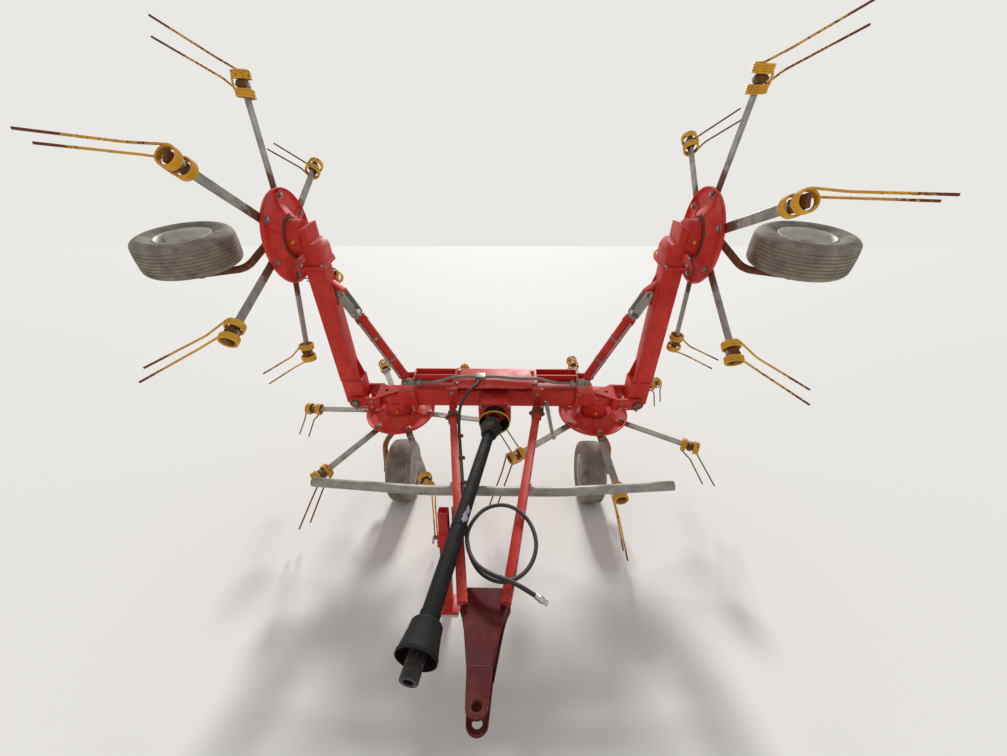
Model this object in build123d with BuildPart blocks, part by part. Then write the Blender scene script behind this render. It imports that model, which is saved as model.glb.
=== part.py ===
from build123d import *
import os
from math import atan2, cos, degrees, hypot, pi, radians, sin, tan

# A trailed rotary hay tedder with four rotors, its two wings folded up for the road.
# Millimetres. X to the right seen from the hitch, Y to the rear, Z up, wheels on Z = 0.
# The carrier with its rotors leans forward, so the inner pieces sit in a tilted frame:
# x across the machine, y aft along the carrier, z up along the rotor axles, with z = 0
# in the plane of the tine coils. A side is -1 for the left and +1 for the right.

# Wheels
TYRE_RADIUS = 203.0
TYRE_WIDTH = 158.0
TYRE_SHOULDER = 26.0
TYRE_GROOVE_DEPTH = 5.0
TYRE_GROOVE_WIDTH = 9.0
TYRE_GROOVES = (-42.0, -14.0, 14.0, 42.0)
RIM_RADIUS = 106.0
RIM_LIP = 7.0
RIM_WIDTH = 132.0
RIM_WALL = 4.0
RIM_DISH = 26.0
WHEEL_HUB_RADIUS = 34.0
WHEEL_HUB_LENGTH = 92.0
AXLE_RADIUS = 15.0
WHEEL_FORWARD = 180.0
WHEEL_DROP = 332.0
LEG_RADIUS = 17.0
LEG_REACH = 116.0
LEG_POST_RADIUS = 24.0

# Carrier
TILT = 18.0
ROTOR_SPACING = 1250.0
ROTOR_REAR = 405.0
BEAM_DEPTH = 120.0
BEAM_HEIGHT = 120.0
BEAM_LEVEL = 197.0
BEAM_WALL = 8.0
CROSS_DEPTH = 70.0
CROSS_HEIGHT = 56.0
CROSS_RISE = 20.0
CROSS_WALL = 8.0
CROSS_LENGTH = 1000.0
CROSS_AFT = 35.0
TRAY_WIDTH = 500.0
TRAY_FRONT = -130.0
TRAY_REAR = 58.0
TRAY_THICK = 8.0
LUG_BOTTOM = 190.0

# Rotors
COIL_CIRCLE = 608.0
ARMS = 6
ARM_WIDTH = 40.0
ARM_THICK = 10.0
ARM_ROOT = 118.0
ARM_TIP = 652.0
DISC_RADIUS = 220.0
DISC_FLOOR = 36.0
DISC_THICK = 6.0
DISC_LIP = 16.0
DISC_CONE_RADIUS = 150.0
DISC_HUB_RADIUS = 95.0
DISC_HUB_LEVEL = 66.0
CHANNEL_HEIGHT = 8.0
CHANNEL_WIDTH = 46.0
CHANNEL_START = DISC_HUB_RADIUS + 7.0
CHANNEL_END = DISC_RADIUS - 14.0
SHAFT_CLEARANCE = 0.08
RUN_CLEARANCE = 6.0
ARM_ANGLES = {"inner_left": 55.0, "inner_right": 35.0, "wing_left": 49.5, "wing_right": 57.5}

# Tines
WIRE = 9.0
COIL_RADIUS = 35.5
COIL_TURNS = 4
COIL_SPREAD = 33.0
TINE_BEND_OUT = 58.0
TINE_BEND_DROP = 88.0
TINE_BEND_LEAD = 13.0
TINE_TIP_OUT = 186.0
TINE_TIP_TRAIL = 30.0
TINE_TIP_DROP = {"outer": 290.0, "inner": 307.0}
HOLDER_HEIGHT = 58.0

# Gearboxes
COLLAR_RADIUS = 80.0
COLLAR_FOOT_RADIUS = 85.0
COLLAR_FOOT = 10.0
GEARBOX_DEPTH = 164.0
GEARBOX_INBOARD = 136.0
GEARBOX_OUTBOARD = 96.0
INNER_BOX_LEVELS = (112.0, 250.0)
WING_BOX_LEVELS = (92.0, 206.0)
BOX_HALF = 66.0
BOX_FLOOR = 0.28
BOX_OUTLINE = (
    # inboard from the rotor's middle, share of the way from the low level to the high one
    (136.0, 0.0), (124.0, 0.0), (98.0, BOX_FLOOR), (-47.0, BOX_FLOOR), (-60.0, 0.645), (16.0, 0.645),
    (16.0, 0.8), (34.0, 0.93), (56.0, 1.0), (136.0, 1.0),
)
ARM_CASE_HALF = 46.0
ARM_CASE_SHARES = (0.1, 0.62)
BOX_WEB_INBOARD = 13.0
BOX_WEB_THICK = 8.0
BOX_WEB_DROP = 30.0

# Wings
HINGE_X = ROTOR_SPACING / 2 + 246.0
HINGE_LEVEL = 167.0
FOLD = 90.0
WING_BEAM_SIDE = 96.0
WING_BEAM_DROP = 20.0
WING_BEAM_WALL = 7.0
ROOT_LOW = -60.0
ROOT_HIGH = 58.0
ROOT_DEPTH = 112.0
ROOT_START = -10.0
ROOT_END = 150.0
CHEEK_THICK = 16.0
CHEEK_RADIUS = 40.0
CHEEK_GAP = 6.0
HINGE_PIN_RADIUS = 16.0

# Lift cylinders
BASE_PIN_X = CROSS_LENGTH / 2 + 50.0
CROSS_LOW = BEAM_LEVEL + BEAM_HEIGHT / 2 + CROSS_RISE
BASE_PIN_LEVEL = 300.0
LINK_PIN_ALONG = 710.0
LINK_PIN_HIGH = 60.0
LINK_LENGTH = 130.0
LINK_GAP = 44.0
LINK_THICK = 8.0
LINK_RADIUS = 24.0
BARREL_RADIUS = 31.0
BARREL_START = 30.0
ROD_RADIUS = 15.0
EYE_RADIUS = 20.0
EYE_WIDTH = 38.0
CYLINDER_PIN_RADIUS = 10.0

# Drawbar
RAIL_WIDTH = 40.0
RAIL_HEIGHT = 46.0
RAIL_REAR = (250.0, -241.0, 142.0)
RAIL_FRONT = (90.0, -1240.0, -142.0)
TONGUE_LEVEL = -176.0
TONGUE_THICK = 12.0
TONGUE_GAP = 60.0
TONGUE_REAR = -1225.0
TONGUE_TIP = -1700.0
TONGUE_REAR_WIDTH = 196.0
TONGUE_TIP_WIDTH = 56.0
WEB_LENGTH = 190.0
HITCH_HOLE_Y = -1640.0
HITCH_HOLE_RADIUS = 16.0
GUARD_RADIUS = 24.0
GUARD_Y = -752.0
GUARD_END_Y = -690.0
GUARD_STRAIGHT = 340.0
GUARD_HALF = 905.0

CLEVIS_THICK = 8.0
CLEVIS_LENGTH = 64.0
CLEVIS_HEIGHT = 52.0
CLEVIS_AHEAD = {"left": 59.0, "right": 21.0}
CLEVIS_BOLT_FLATS = 24.0
CLEVIS_BOLT_HEIGHT = 12.0

# Parking stand
STAND_X = -202.0
STAND_Y = -946.0
STAND_SIDE = 45.0
STAND_WALL = 4.0
STAND_TOP = -24.0
STAND_SLEEVE = 60.0
FOOT_SIDE = 110.0
FOOT_THICK = 10.0

# Drive shaft
JOINT_AFT = -228.0
JOINT_LEVEL = 202.0
SHAFT_END = (-200.0, -1615.0, -112.0)
SHAFT_TUBE_RADIUS = 36.5
SHAFT_TUBE_WALL = 3.0
SHAFT_INNER_GAP = 0.5
FRONT_TUBE_START = 560.0
FRONT_TUBE_END = 1190.0
REAR_TUBE_START = 150.0
REAR_TUBE_END = 900.0
CONE_RADIUS = 69.0
CONE_LENGTH = 120.0
YOKE_LENGTH = 86.0
SPLINE_RADIUS = 17.4
SPLINE_LENGTH = 60.0
BELL_RADIUS = 90.0
BELL_ROOT_RADIUS = 64.0
BELL_WALL = 3.0
BELL_LENGTH = 80.0
JOINT_STUB_RADIUS = 10.0
JOINT_PIN_RADIUS = 8.0
JOINT_PIN_HALF = 26.0
JOINT_EAR_AT = 20.0
JOINT_EAR_RADIUS = 13.0
JOINT_EAR_THICK = 8.0
JOINT_FORK_LENGTH = 42.0

# Hoses
HOSE_RADIUS = 8.5
LINE_CLEARANCE = 9.0
COUPLER_RADIUS = 13.0
COUPLER_LENGTH = 52.0
HARD_LINE_RADIUS = 4.5
FITTING_INSET = 30.0
FITTING_SIZE = (28.0, 40.0, 26.0)
HOSE_ROUTES = {
    # name: points of the middle line, in the machine's own directions from the rotor middle
    "hose_line": (
        (-100, -168.4, 317.5), (-100, -216, 302.1), (-150, -276, 280), (-196, -325, 208),
        (-199, -372, 105), (-109, -930, -54),
    ),
    "hose_loop": (
        (-109, -930, -54), (-92.8, -1030.44, -82.62), (-66, -1140, -101), (-12, -1225, -108),
        (80, -1262, -108), (168, -1207, -98), (208, -1105, -66), (178, -992, -32),
        (90, -915, -10), (-15, -926, -18), (-78, -1005, -46), (-88, -1095, -62),
        (-50, -1180, -86), (20, -1240, -84), (110, -1275, -82), (185, -1310, -108),
    ),
}
LIFT_HOSE_POINTS = {
    # side: points in the carrier's own directions
    -1: (
        (-120, -40, 354), (-175, -40, 354), (-264, -56, 357), (-336, -58, 326), (-404, -20, 293),
        (-456, -20, 293),
    ),
    1: (
        (-58, -40, 354), (4, -40, 354), (130, -58, 354), (264, -60, 357), (336, -58, 326),
        (404, -20, 293), (456, -20, 293),
    ),
}

os.makedirs("parts", exist_ok=True)
pieces = []


def keep(name, built):
    """Label a finished piece and write its STEP file."""
    built.part.label = name
    export_step(built.part, f"parts/{name}.step")
    pieces.append(name)


# Places

lean_sin = sin(radians(TILT))
lean_cos = cos(radians(TILT))
hub_height = TYRE_RADIUS + WHEEL_FORWARD * lean_sin + WHEEL_DROP * lean_cos
carrier = Plane(
    origin=(0, ROTOR_REAR, hub_height), x_dir=(1, 0, 0), z_dir=(0, -lean_sin, lean_cos)
)
machine = Plane(origin=(0, ROTOR_REAR, hub_height))
joint_point = carrier.from_local_coords((0, JOINT_AFT, JOINT_LEVEL))
end_point = machine.from_local_coords(SHAFT_END)
shaft_run = end_point - joint_point
shaft = Plane(joint_point, x_dir=Vector(0, 0, 1).cross(shaft_run), z_dir=shaft_run)
shaft_length = shaft_run.length


def shifted(seat, x, y, z):
    """The seat's plane moved by x, y, z in its own directions."""
    return Plane(seat.from_local_coords((x, y, z)), x_dir=seat.x_dir, z_dir=seat.z_dir)


def upright(seat, y=0.0):
    """The plane across the seat's y, its own x along the seat's x and its y up the seat's z."""
    origin = seat.from_local_coords((0, y, 0))
    return Plane(origin, x_dir=seat.x_dir, z_dir=-seat.y_dir)


def sideways(seat, x=0.0):
    """The plane across the seat's x, its own x along the seat's y and its y up the seat's z."""
    origin = seat.from_local_coords((x, 0, 0))
    return Plane(origin, x_dir=seat.y_dir, z_dir=seat.x_dir)


def turned(seat, about_y=0.0, about_z=0.0):
    """The seat's plane turned about its own y, then about its own z, in degrees."""
    return Plane(seat.location * Location((0, 0, 0), (0, about_y, about_z)))


def wing_seat(side, fold=FOLD):
    """The wing's frame at its hinge: x outward times side, z up when the wing is lowered."""
    return turned(shifted(carrier, side * HINGE_X, 0, HINGE_LEVEL), about_y=-side * fold)


def rotor_seat(side, place):
    """The frame at the middle of a rotor's coil circle, z up its axle."""
    if place == "inner":
        return shifted(carrier, side * ROTOR_SPACING / 2, 0, 0)
    reach = 1.5 * ROTOR_SPACING - HINGE_X
    return shifted(wing_seat(side), side * reach, 0, -HINGE_LEVEL)


def bar(start, end, radius, mode=Mode.ADD):
    """A round bar between two points of the machine, added to the part being built."""
    run = Vector(end) - Vector(start)
    with BuildSketch(Plane(origin=start, z_dir=run)) as section:
        Circle(radius)
    extrude(section.sketch, amount=run.length, mode=mode)


def bent_bar(points, radius):
    """A round bar along points of the machine, with a ball in each bend."""
    for start, end in zip(points, points[1:]):
        bar(start, end, radius)
    for bend in points[1:-1]:
        with Locations(bend):
            Sphere(radius)


# Rotors

def rotor_disc(name, seat, angle):
    """A pressed dish with a raised rim, a raised channel over each arm and a boss at the hub."""
    floor = DISC_FLOOR
    rim = floor + DISC_LIP
    boss_top = DISC_HUB_LEVEL + RUN_CLEARANCE - SHAFT_CLEARANCE
    bore = LEG_POST_RADIUS + SHAFT_CLEARANCE
    boss = bore + 12.0
    with BuildPart() as disc:
        with BuildSketch(upright(seat)):
            Polygon(
                (bore, DISC_HUB_LEVEL - DISC_THICK),
                (DISC_HUB_RADIUS - 4, DISC_HUB_LEVEL - DISC_THICK),
                (DISC_CONE_RADIUS - 4, floor - DISC_THICK),
                (DISC_RADIUS - 8, floor - DISC_THICK),
                (DISC_RADIUS, rim - 10),
                (DISC_RADIUS, rim),
                (DISC_RADIUS - 6, rim),
                (DISC_RADIUS - 12, floor),
                (DISC_CONE_RADIUS, floor),
                (DISC_HUB_RADIUS, DISC_HUB_LEVEL),
                (boss, DISC_HUB_LEVEL),
                (boss, boss_top),
                (bore, boss_top),
                align=None,
            )
        revolve(axis=Axis(seat.origin, seat.z_dir))
        cone = (DISC_HUB_LEVEL - floor) / (DISC_CONE_RADIUS - DISC_HUB_RADIUS)
        start = DISC_HUB_LEVEL - cone * (CHANNEL_START - DISC_HUB_RADIUS)
        skin = DISC_THICK / 2
        for step in range(ARMS):
            with BuildSketch(upright(turned(seat, about_z=angle + step * 360 / ARMS))):
                Polygon(
                    (CHANNEL_START, start - skin),
                    (DISC_CONE_RADIUS, floor - skin),
                    (CHANNEL_END, floor - skin),
                    (CHANNEL_END, floor),
                    (CHANNEL_END - CHANNEL_HEIGHT, floor + CHANNEL_HEIGHT),
                    (DISC_CONE_RADIUS - skin, floor + CHANNEL_HEIGHT),
                    (CHANNEL_START, start),
                    align=None,
                )
            extrude(amount=CHANNEL_WIDTH / 2, both=True)
    keep(name, disc)


def rotor_arms(name, seat, angle):
    """Six flat arms, level under the disc and sloping down to the coils, with tine holders."""
    level = DISC_FLOOR - DISC_THICK
    bend = DISC_RADIUS + 6
    half = ARM_THICK / 2
    with BuildPart() as arms:
        for step in range(ARMS):
            spoke = turned(seat, about_z=angle + step * 360 / ARMS)
            with BuildSketch(upright(spoke)):
                Polygon(
                    (ARM_ROOT, level - ARM_THICK),
                    (bend, level - ARM_THICK),
                    (COIL_CIRCLE, -half),
                    (ARM_TIP, -half),
                    (ARM_TIP, half),
                    (COIL_CIRCLE, half),
                    (bend, level),
                    (ARM_ROOT, level),
                    align=None,
                )
            extrude(amount=ARM_WIDTH / 2, both=True)
            width = 2 * (COIL_SPREAD - COIL_TURNS * WIRE / 2 - SHAFT_CLEARANCE)
            with Locations(shifted(spoke, COIL_CIRCLE, 0, 0)):
                Box(width, HOLDER_HEIGHT, HOLDER_HEIGHT / 2)
    keep(name, arms)


def rotor_tines(name, seat, angle, turn):
    """Twelve coils in pairs on the arms, each ending in a bent prong that drags behind the arm."""
    length = COIL_TURNS * WIRE
    with BuildPart() as tines:
        for step in range(ARMS):
            spoke = turned(seat, about_z=angle + step * 360 / ARMS)
            for place, sign in (("outer", 1), ("inner", -1)):
                middle = COIL_CIRCLE + sign * COIL_SPREAD
                with BuildSketch(sideways(spoke, middle - length / 2)):
                    Circle(COIL_RADIUS + WIRE / 2)
                    Circle(COIL_RADIUS - WIRE / 2, mode=Mode.SUBTRACT)
                extrude(amount=length)
                end = middle + sign * (length - WIRE) / 2
                points = (
                    (end, turn * COIL_RADIUS, 0),
                    (middle + TINE_BEND_OUT, turn * TINE_BEND_LEAD, -TINE_BEND_DROP),
                    (middle + TINE_TIP_OUT, -turn * TINE_TIP_TRAIL, -TINE_TIP_DROP[place]),
                )
                bent_bar([spoke.from_local_coords(point) for point in points], WIRE / 2)
    keep(name, tines)


# Gearboxes and legs

def gearbox(name, seat, side, levels, hinged):
    """A stepped box on a round collar, with a flange and, on a hinged side, a case out to it."""
    low, high = levels
    tall = high - low
    inner = -side * GEARBOX_INBOARD
    foot = DISC_HUB_LEVEL + RUN_CLEARANCE
    floor = low + BOX_FLOOR * tall
    case_low, case_high = (low + share * tall for share in ARM_CASE_SHARES)
    with BuildPart() as box:
        with BuildSketch(shifted(seat, 0, 0, foot)):
            Circle(COLLAR_RADIUS)
        extrude(amount=floor + 4 - foot)
        with BuildSketch(shifted(seat, 0, 0, foot)):
            Circle(COLLAR_FOOT_RADIUS)
        extrude(amount=COLLAR_FOOT)
        with BuildSketch(upright(seat)):
            Polygon(*((-side * x, low + share * tall) for x, share in BOX_OUTLINE), align=None)
        extrude(amount=BOX_HALF, both=True)
        if hinged:
            with BuildSketch(sideways(seat)):
                with Locations((0, (case_low + case_high) / 2)):
                    RectangleRounded(2 * ARM_CASE_HALF, case_high - case_low, 10)
            extrude(amount=side * GEARBOX_OUTBOARD)
        with BuildSketch(sideways(seat, inner)):
            with Locations((0, (low + high) / 2)):
                RectangleRounded(GEARBOX_DEPTH, tall + 14, 14)
        extrude(amount=side * 14)
        with BuildSketch(sideways(seat, -side * BOX_WEB_INBOARD)):
            for face in (-1, 1):
                Polygon(
                    (face * (COLLAR_RADIUS - 6), floor - BOX_WEB_DROP), (face * (COLLAR_RADIUS + 1), floor),
                    (face * BOX_HALF, floor + 20), (face * (BOX_HALF - 6), floor + 20),
                    (face * (BOX_HALF - 6), floor - BOX_WEB_DROP),
                    align=None,
                )
        extrude(amount=BOX_WEB_THICK / 2, both=True)
    keep(name, box)


def wheel_leg(name, seat, side):
    """A bent round leg from the middle of the rotor to the wheel's axle."""
    post_top = DISC_HUB_LEVEL + RUN_CLEARANCE
    axle = (side * LEG_REACH, -WHEEL_FORWARD, -WHEEL_DROP)
    points = (
        (0, 0, -30),
        (side * LEG_REACH, -WHEEL_FORWARD * 0.62, -150),
        axle,
    )
    with BuildPart() as leg:
        bar(seat.from_local_coords((0, 0, -30)), seat.from_local_coords((0, 0, post_top)), LEG_POST_RADIUS)
        with Locations(shifted(seat, 0, 0, -30)):
            Sphere(LEG_POST_RADIUS)
        bent_bar([seat.from_local_coords(point) for point in points], LEG_RADIUS)
        with Locations(seat.from_local_coords(axle)):
            Sphere(LEG_RADIUS)
        stub_end = (-side * WHEEL_HUB_LENGTH / 2, -WHEEL_FORWARD, -WHEEL_DROP)
        bar(seat.from_local_coords(axle), seat.from_local_coords(stub_end), AXLE_RADIUS)
    keep(name, leg)


# Wheels

def wheel_seat(seat):
    """The plane through a wheel's middle, z along its axle."""
    hub = seat.from_local_coords((0, -WHEEL_FORWARD, -WHEEL_DROP))
    return Plane(hub, x_dir=seat.y_dir, z_dir=seat.x_dir)


def tyre(name, seat):
    """A ribbed implement tyre with four grooves round its tread."""
    wheel = wheel_seat(seat)
    half = TYRE_WIDTH / 2
    bead = RIM_WIDTH / 2 - RIM_WALL
    tread = half - TYRE_SHOULDER
    with BuildPart() as body:
        with BuildSketch(upright(wheel)):
            with BuildLine():
                Polyline(
                    (RIM_RADIUS, -bead), (RIM_RADIUS + 16, -bead),
                    (TYRE_RADIUS - 46, -half), (TYRE_RADIUS - 14, -half + 6),
                    (TYRE_RADIUS, -tread), (TYRE_RADIUS, tread),
                    (TYRE_RADIUS - 14, half - 6), (TYRE_RADIUS - 46, half),
                    (RIM_RADIUS + 16, bead), (RIM_RADIUS, bead),
                    close=True,
                )
            make_face()
            for groove in TYRE_GROOVES:
                with Locations((TYRE_RADIUS, groove)):
                    Rectangle(2 * TYRE_GROOVE_DEPTH, TYRE_GROOVE_WIDTH, mode=Mode.SUBTRACT)
        revolve(axis=Axis(wheel.origin, wheel.z_dir))
    keep(name, body)


def rim(name, seat):
    """A pressed steel rim with a dished disc and a hub on the axle."""
    wheel = wheel_seat(seat)
    half = RIM_WIDTH / 2
    inside = RIM_RADIUS - SHAFT_CLEARANCE
    lip = RIM_RADIUS + RIM_LIP
    with BuildPart() as body:
        with BuildSketch(upright(wheel)):
            Polygon(
                (inside - RIM_WALL, -half), (lip, -half), (lip, -half + RIM_WALL),
                (inside, -half + RIM_WALL), (inside, half - RIM_WALL), (lip, half - RIM_WALL),
                (lip, half), (inside - RIM_WALL, half), (inside - RIM_WALL, RIM_DISH + RIM_WALL),
                (60, RIM_WALL), (WHEEL_HUB_RADIUS, RIM_WALL), (WHEEL_HUB_RADIUS, -RIM_WALL),
                (62, -RIM_WALL), (inside - RIM_WALL, RIM_DISH - 2 * RIM_WALL),
                align=None,
            )
            with Locations(((AXLE_RADIUS + SHAFT_CLEARANCE + WHEEL_HUB_RADIUS) / 2, 0)):
                Rectangle(WHEEL_HUB_RADIUS - AXLE_RADIUS - SHAFT_CLEARANCE, WHEEL_HUB_LENGTH)
        revolve(axis=Axis(wheel.origin, wheel.z_dir))
    keep(name, body)


# Wings

def wing_beam(name, seat, side):
    """A square beam with a deeper root on the hinge and a bracket for the lift link."""
    middle = -WING_BEAM_DROP
    reach = 1.5 * ROTOR_SPACING - HINGE_X - GEARBOX_INBOARD
    root_middle = (ROOT_LOW + ROOT_HIGH) / 2
    half = WING_BEAM_SIDE / 2
    with BuildPart() as beam:
        with BuildSketch(sideways(seat, side * ROOT_END)):
            with Locations((0, middle)):
                inside = WING_BEAM_SIDE - 2 * WING_BEAM_WALL
                Rectangle(WING_BEAM_SIDE, WING_BEAM_SIDE)
                Rectangle(inside, inside, mode=Mode.SUBTRACT)
        extrude(amount=side * (reach - ROOT_END))
        with BuildSketch(sideways(seat, side * ROOT_START)):
            with Locations((0, root_middle)):
                Rectangle(ROOT_DEPTH, ROOT_HIGH - ROOT_LOW)
        extrude(amount=side * (ROOT_END - ROOT_START))
        with BuildSketch(upright(seat)):
            Polygon(
                (side * (LINK_PIN_ALONG - 70), middle + half),
                (side * (LINK_PIN_ALONG + 70), middle + half),
                (side * (LINK_PIN_ALONG + 22), LINK_PIN_HIGH + 20),
                (side * (LINK_PIN_ALONG - 22), LINK_PIN_HIGH + 20),
                align=None,
            )
        extrude(amount=EYE_WIDTH / 2, both=True)
        with BuildSketch(upright(seat)):
            Circle(HINGE_PIN_RADIUS + SHAFT_CLEARANCE)
        extrude(amount=ROOT_DEPTH, both=True, mode=Mode.SUBTRACT)
        with BuildSketch(upright(seat)):
            with Locations((side * LINK_PIN_ALONG, LINK_PIN_HIGH)):
                Circle(CYLINDER_PIN_RADIUS + SHAFT_CLEARANCE)
        extrude(amount=ROOT_DEPTH, both=True, mode=Mode.SUBTRACT)
    keep(name, beam)


def hinge_block(name, side):
    """Two cheeks on the inner gearbox's outer end that hold the wing's hinge pins."""
    start = ROTOR_SPACING / 2 + GEARBOX_OUTBOARD
    gap = ROOT_DEPTH / 2 + CHEEK_GAP
    with BuildPart() as block:
        for face in (-1, 1):
            with BuildSketch(upright(carrier, face * (gap + CHEEK_THICK / 2))):
                with Locations((side * HINGE_X, HINGE_LEVEL)):
                    Circle(CHEEK_RADIUS)
                Polygon(
                    (side * start, HINGE_LEVEL - 44),
                    (side * HINGE_X, HINGE_LEVEL - CHEEK_RADIUS),
                    (side * HINGE_X, HINGE_LEVEL + CHEEK_RADIUS),
                    (side * start, HINGE_LEVEL + 40),
                    align=None,
                )
            extrude(amount=CHEEK_THICK / 2, both=True)
            pin_in = carrier.from_local_coords((side * HINGE_X, face * (gap - 40), HINGE_LEVEL))
            pin_out = carrier.from_local_coords((side * HINGE_X, face * (gap + CHEEK_THICK + 8), HINGE_LEVEL))
            bar(pin_in, pin_out, HINGE_PIN_RADIUS)
        with BuildSketch(sideways(carrier, side * start)):
            with Locations((0, HINGE_LEVEL - 2)):
                Rectangle(2 * (gap + CHEEK_THICK), 84)
        extrude(amount=side * 16)
        stub_start = carrier.from_local_coords((side * start, 0, HINGE_LEVEL))
        stub_end = carrier.from_local_coords((side * (start + 68), 0, HINGE_LEVEL))
        bar(stub_start, stub_end, 22)
    keep(name, block)


# Lift cylinders

def cylinder_line(fold):
    """Length and angle from a cylinder's base pin to its link pin, across the right-hand wing."""
    turn = radians(fold)
    x = HINGE_X + LINK_PIN_ALONG * cos(turn) - LINK_PIN_HIGH * sin(turn) - BASE_PIN_X
    z = HINGE_LEVEL + LINK_PIN_ALONG * sin(turn) + LINK_PIN_HIGH * cos(turn) - BASE_PIN_LEVEL
    return hypot(x, z), degrees(atan2(z, x))


closed_length, closed_angle = cylinder_line(FOLD)
open_length, open_angle = cylinder_line(0)
eye_along = closed_length - LINK_LENGTH


def cylinder_seat(side):
    """The frame at a cylinder's base pin, x along the cylinder times side."""
    base = shifted(carrier, side * BASE_PIN_X, 0, BASE_PIN_LEVEL)
    return turned(base, about_y=-side * closed_angle)


def barrel(name, side):
    """The cylinder's tube with its base eye and gland."""
    seat = cylinder_seat(side)
    gland_end = eye_along - EYE_RADIUS - 4
    with BuildPart() as tube:
        with BuildSketch(upright(seat)):
            Circle(EYE_RADIUS + 4)
            with Locations((side * BARREL_START / 2, 0)):
                Rectangle(BARREL_START, 2 * EYE_RADIUS)
        extrude(amount=EYE_WIDTH / 2, both=True)
        with BuildSketch(sideways(seat, side * BARREL_START)):
            Circle(BARREL_RADIUS)
        extrude(amount=side * (gland_end - BARREL_START))
        with BuildSketch(sideways(seat, side * (BARREL_START + 20))):
            Circle(ROD_RADIUS + SHAFT_CLEARANCE)
        extrude(amount=side * (gland_end - BARREL_START), mode=Mode.SUBTRACT)
        line_y = -BARREL_RADIUS - LINE_CLEARANCE
        line_start = side * (BARREL_START + 24)
        line_end = side * (gland_end - 24)
        hard_line = (
            (line_start, -BARREL_RADIUS + 4, 0), (line_start, line_y, 0),
            (line_end, line_y, 0), (line_end, -BARREL_RADIUS + 4, 0),
        )
        bent_bar([seat.from_local_coords(point) for point in hard_line], HARD_LINE_RADIUS)
        with BuildSketch(upright(seat)):
            Circle(CYLINDER_PIN_RADIUS + SHAFT_CLEARANCE)
        extrude(amount=EYE_WIDTH, both=True, mode=Mode.SUBTRACT)
    keep(name, tube)


def rod(name, side):
    """The cylinder's rod and the open eye on its end."""
    seat = cylinder_seat(side)
    with BuildPart() as stem:
        with BuildSketch(upright(seat)):
            with Locations((side * eye_along, 0)):
                Circle(EYE_RADIUS)
        extrude(amount=EYE_WIDTH / 2, both=True)
        with BuildSketch(sideways(seat, side * (BARREL_START + 25))):
            Circle(ROD_RADIUS)
        extrude(amount=side * (eye_along - BARREL_START - 25))
        with BuildSketch(upright(seat)):
            with Locations((side * eye_along, 0)):
                Circle(CYLINDER_PIN_RADIUS + SHAFT_CLEARANCE)
        extrude(amount=EYE_WIDTH, both=True, mode=Mode.SUBTRACT)
    keep(name, stem)


def link(name, side):
    """Two flat plates from the wing's bracket to the rod's eye, with a pin in the bracket."""
    seat = cylinder_seat(side)
    inside = LINK_GAP / 2
    with BuildPart() as plates:
        for face in (-1, 1):
            with BuildSketch(upright(seat, face * (inside + LINK_THICK / 2))):
                with Locations((side * (closed_length - LINK_LENGTH / 2), 0)):
                    SlotCenterToCenter(LINK_LENGTH, 2 * LINK_RADIUS)
                with Locations((side * eye_along, 0)):
                    Circle(CYLINDER_PIN_RADIUS + SHAFT_CLEARANCE, mode=Mode.SUBTRACT)
            extrude(amount=LINK_THICK / 2, both=True)
        pin = inside + LINK_THICK
        bar(
            seat.from_local_coords((side * closed_length, -pin, 0)),
            seat.from_local_coords((side * closed_length, pin, 0)),
            CYLINDER_PIN_RADIUS,
        )
    keep(name, plates)


# Carrier frame

def main_beam():
    """The square beam between the two inner gearboxes."""
    length = ROTOR_SPACING - 2 * GEARBOX_INBOARD
    with BuildPart() as beam:
        with BuildSketch(sideways(carrier, -length / 2)):
            with Locations((0, BEAM_LEVEL)):
                Rectangle(BEAM_DEPTH, BEAM_HEIGHT)
                Rectangle(BEAM_DEPTH - 2 * BEAM_WALL, BEAM_HEIGHT - 2 * BEAM_WALL, mode=Mode.SUBTRACT)
        extrude(amount=length)
    keep("main_beam", beam)


def cross_member():
    """The channel above the beam, open to the top, with the cylinders' base lugs at its ends."""
    low = CROSS_LOW
    middle = low + CROSS_HEIGHT / 2
    lug_gap = EYE_WIDTH / 2 + 0.5
    end_depth = CROSS_DEPTH + CROSS_AFT
    with BuildPart() as member:
        with BuildSketch(sideways(carrier, -CROSS_LENGTH / 2)):
            with Locations((CROSS_AFT, middle)):
                Rectangle(CROSS_DEPTH, CROSS_HEIGHT)
            with Locations((CROSS_AFT, middle + CROSS_WALL)):
                Rectangle(CROSS_DEPTH - 2 * CROSS_WALL, CROSS_HEIGHT, mode=Mode.SUBTRACT)
        extrude(amount=CROSS_LENGTH)
        for side in (-1, 1):
            for face in (-1, 1):
                with BuildSketch(upright(carrier, face * (lug_gap + 6))):
                    with Locations((side * BASE_PIN_X, BASE_PIN_LEVEL)):
                        Circle(24)
                    with Locations((side * (BASE_PIN_X + CROSS_LENGTH / 2 - 8) / 2, BASE_PIN_LEVEL)):
                        Rectangle(BASE_PIN_X - CROSS_LENGTH / 2 + 8, 48)
                extrude(amount=6, both=True)
            with BuildSketch(sideways(carrier, side * (CROSS_LENGTH / 2 - 8))):
                with Locations((CROSS_AFT / 2, middle)):
                    Rectangle(end_depth, CROSS_HEIGHT)
            extrude(amount=side * 8)
            pin = lug_gap + 14
            bar(
                carrier.from_local_coords((side * BASE_PIN_X, -pin, BASE_PIN_LEVEL)),
                carrier.from_local_coords((side * BASE_PIN_X, pin, BASE_PIN_LEVEL)),
                CYLINDER_PIN_RADIUS,
            )
    keep("upper_cross_member", member)


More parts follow.
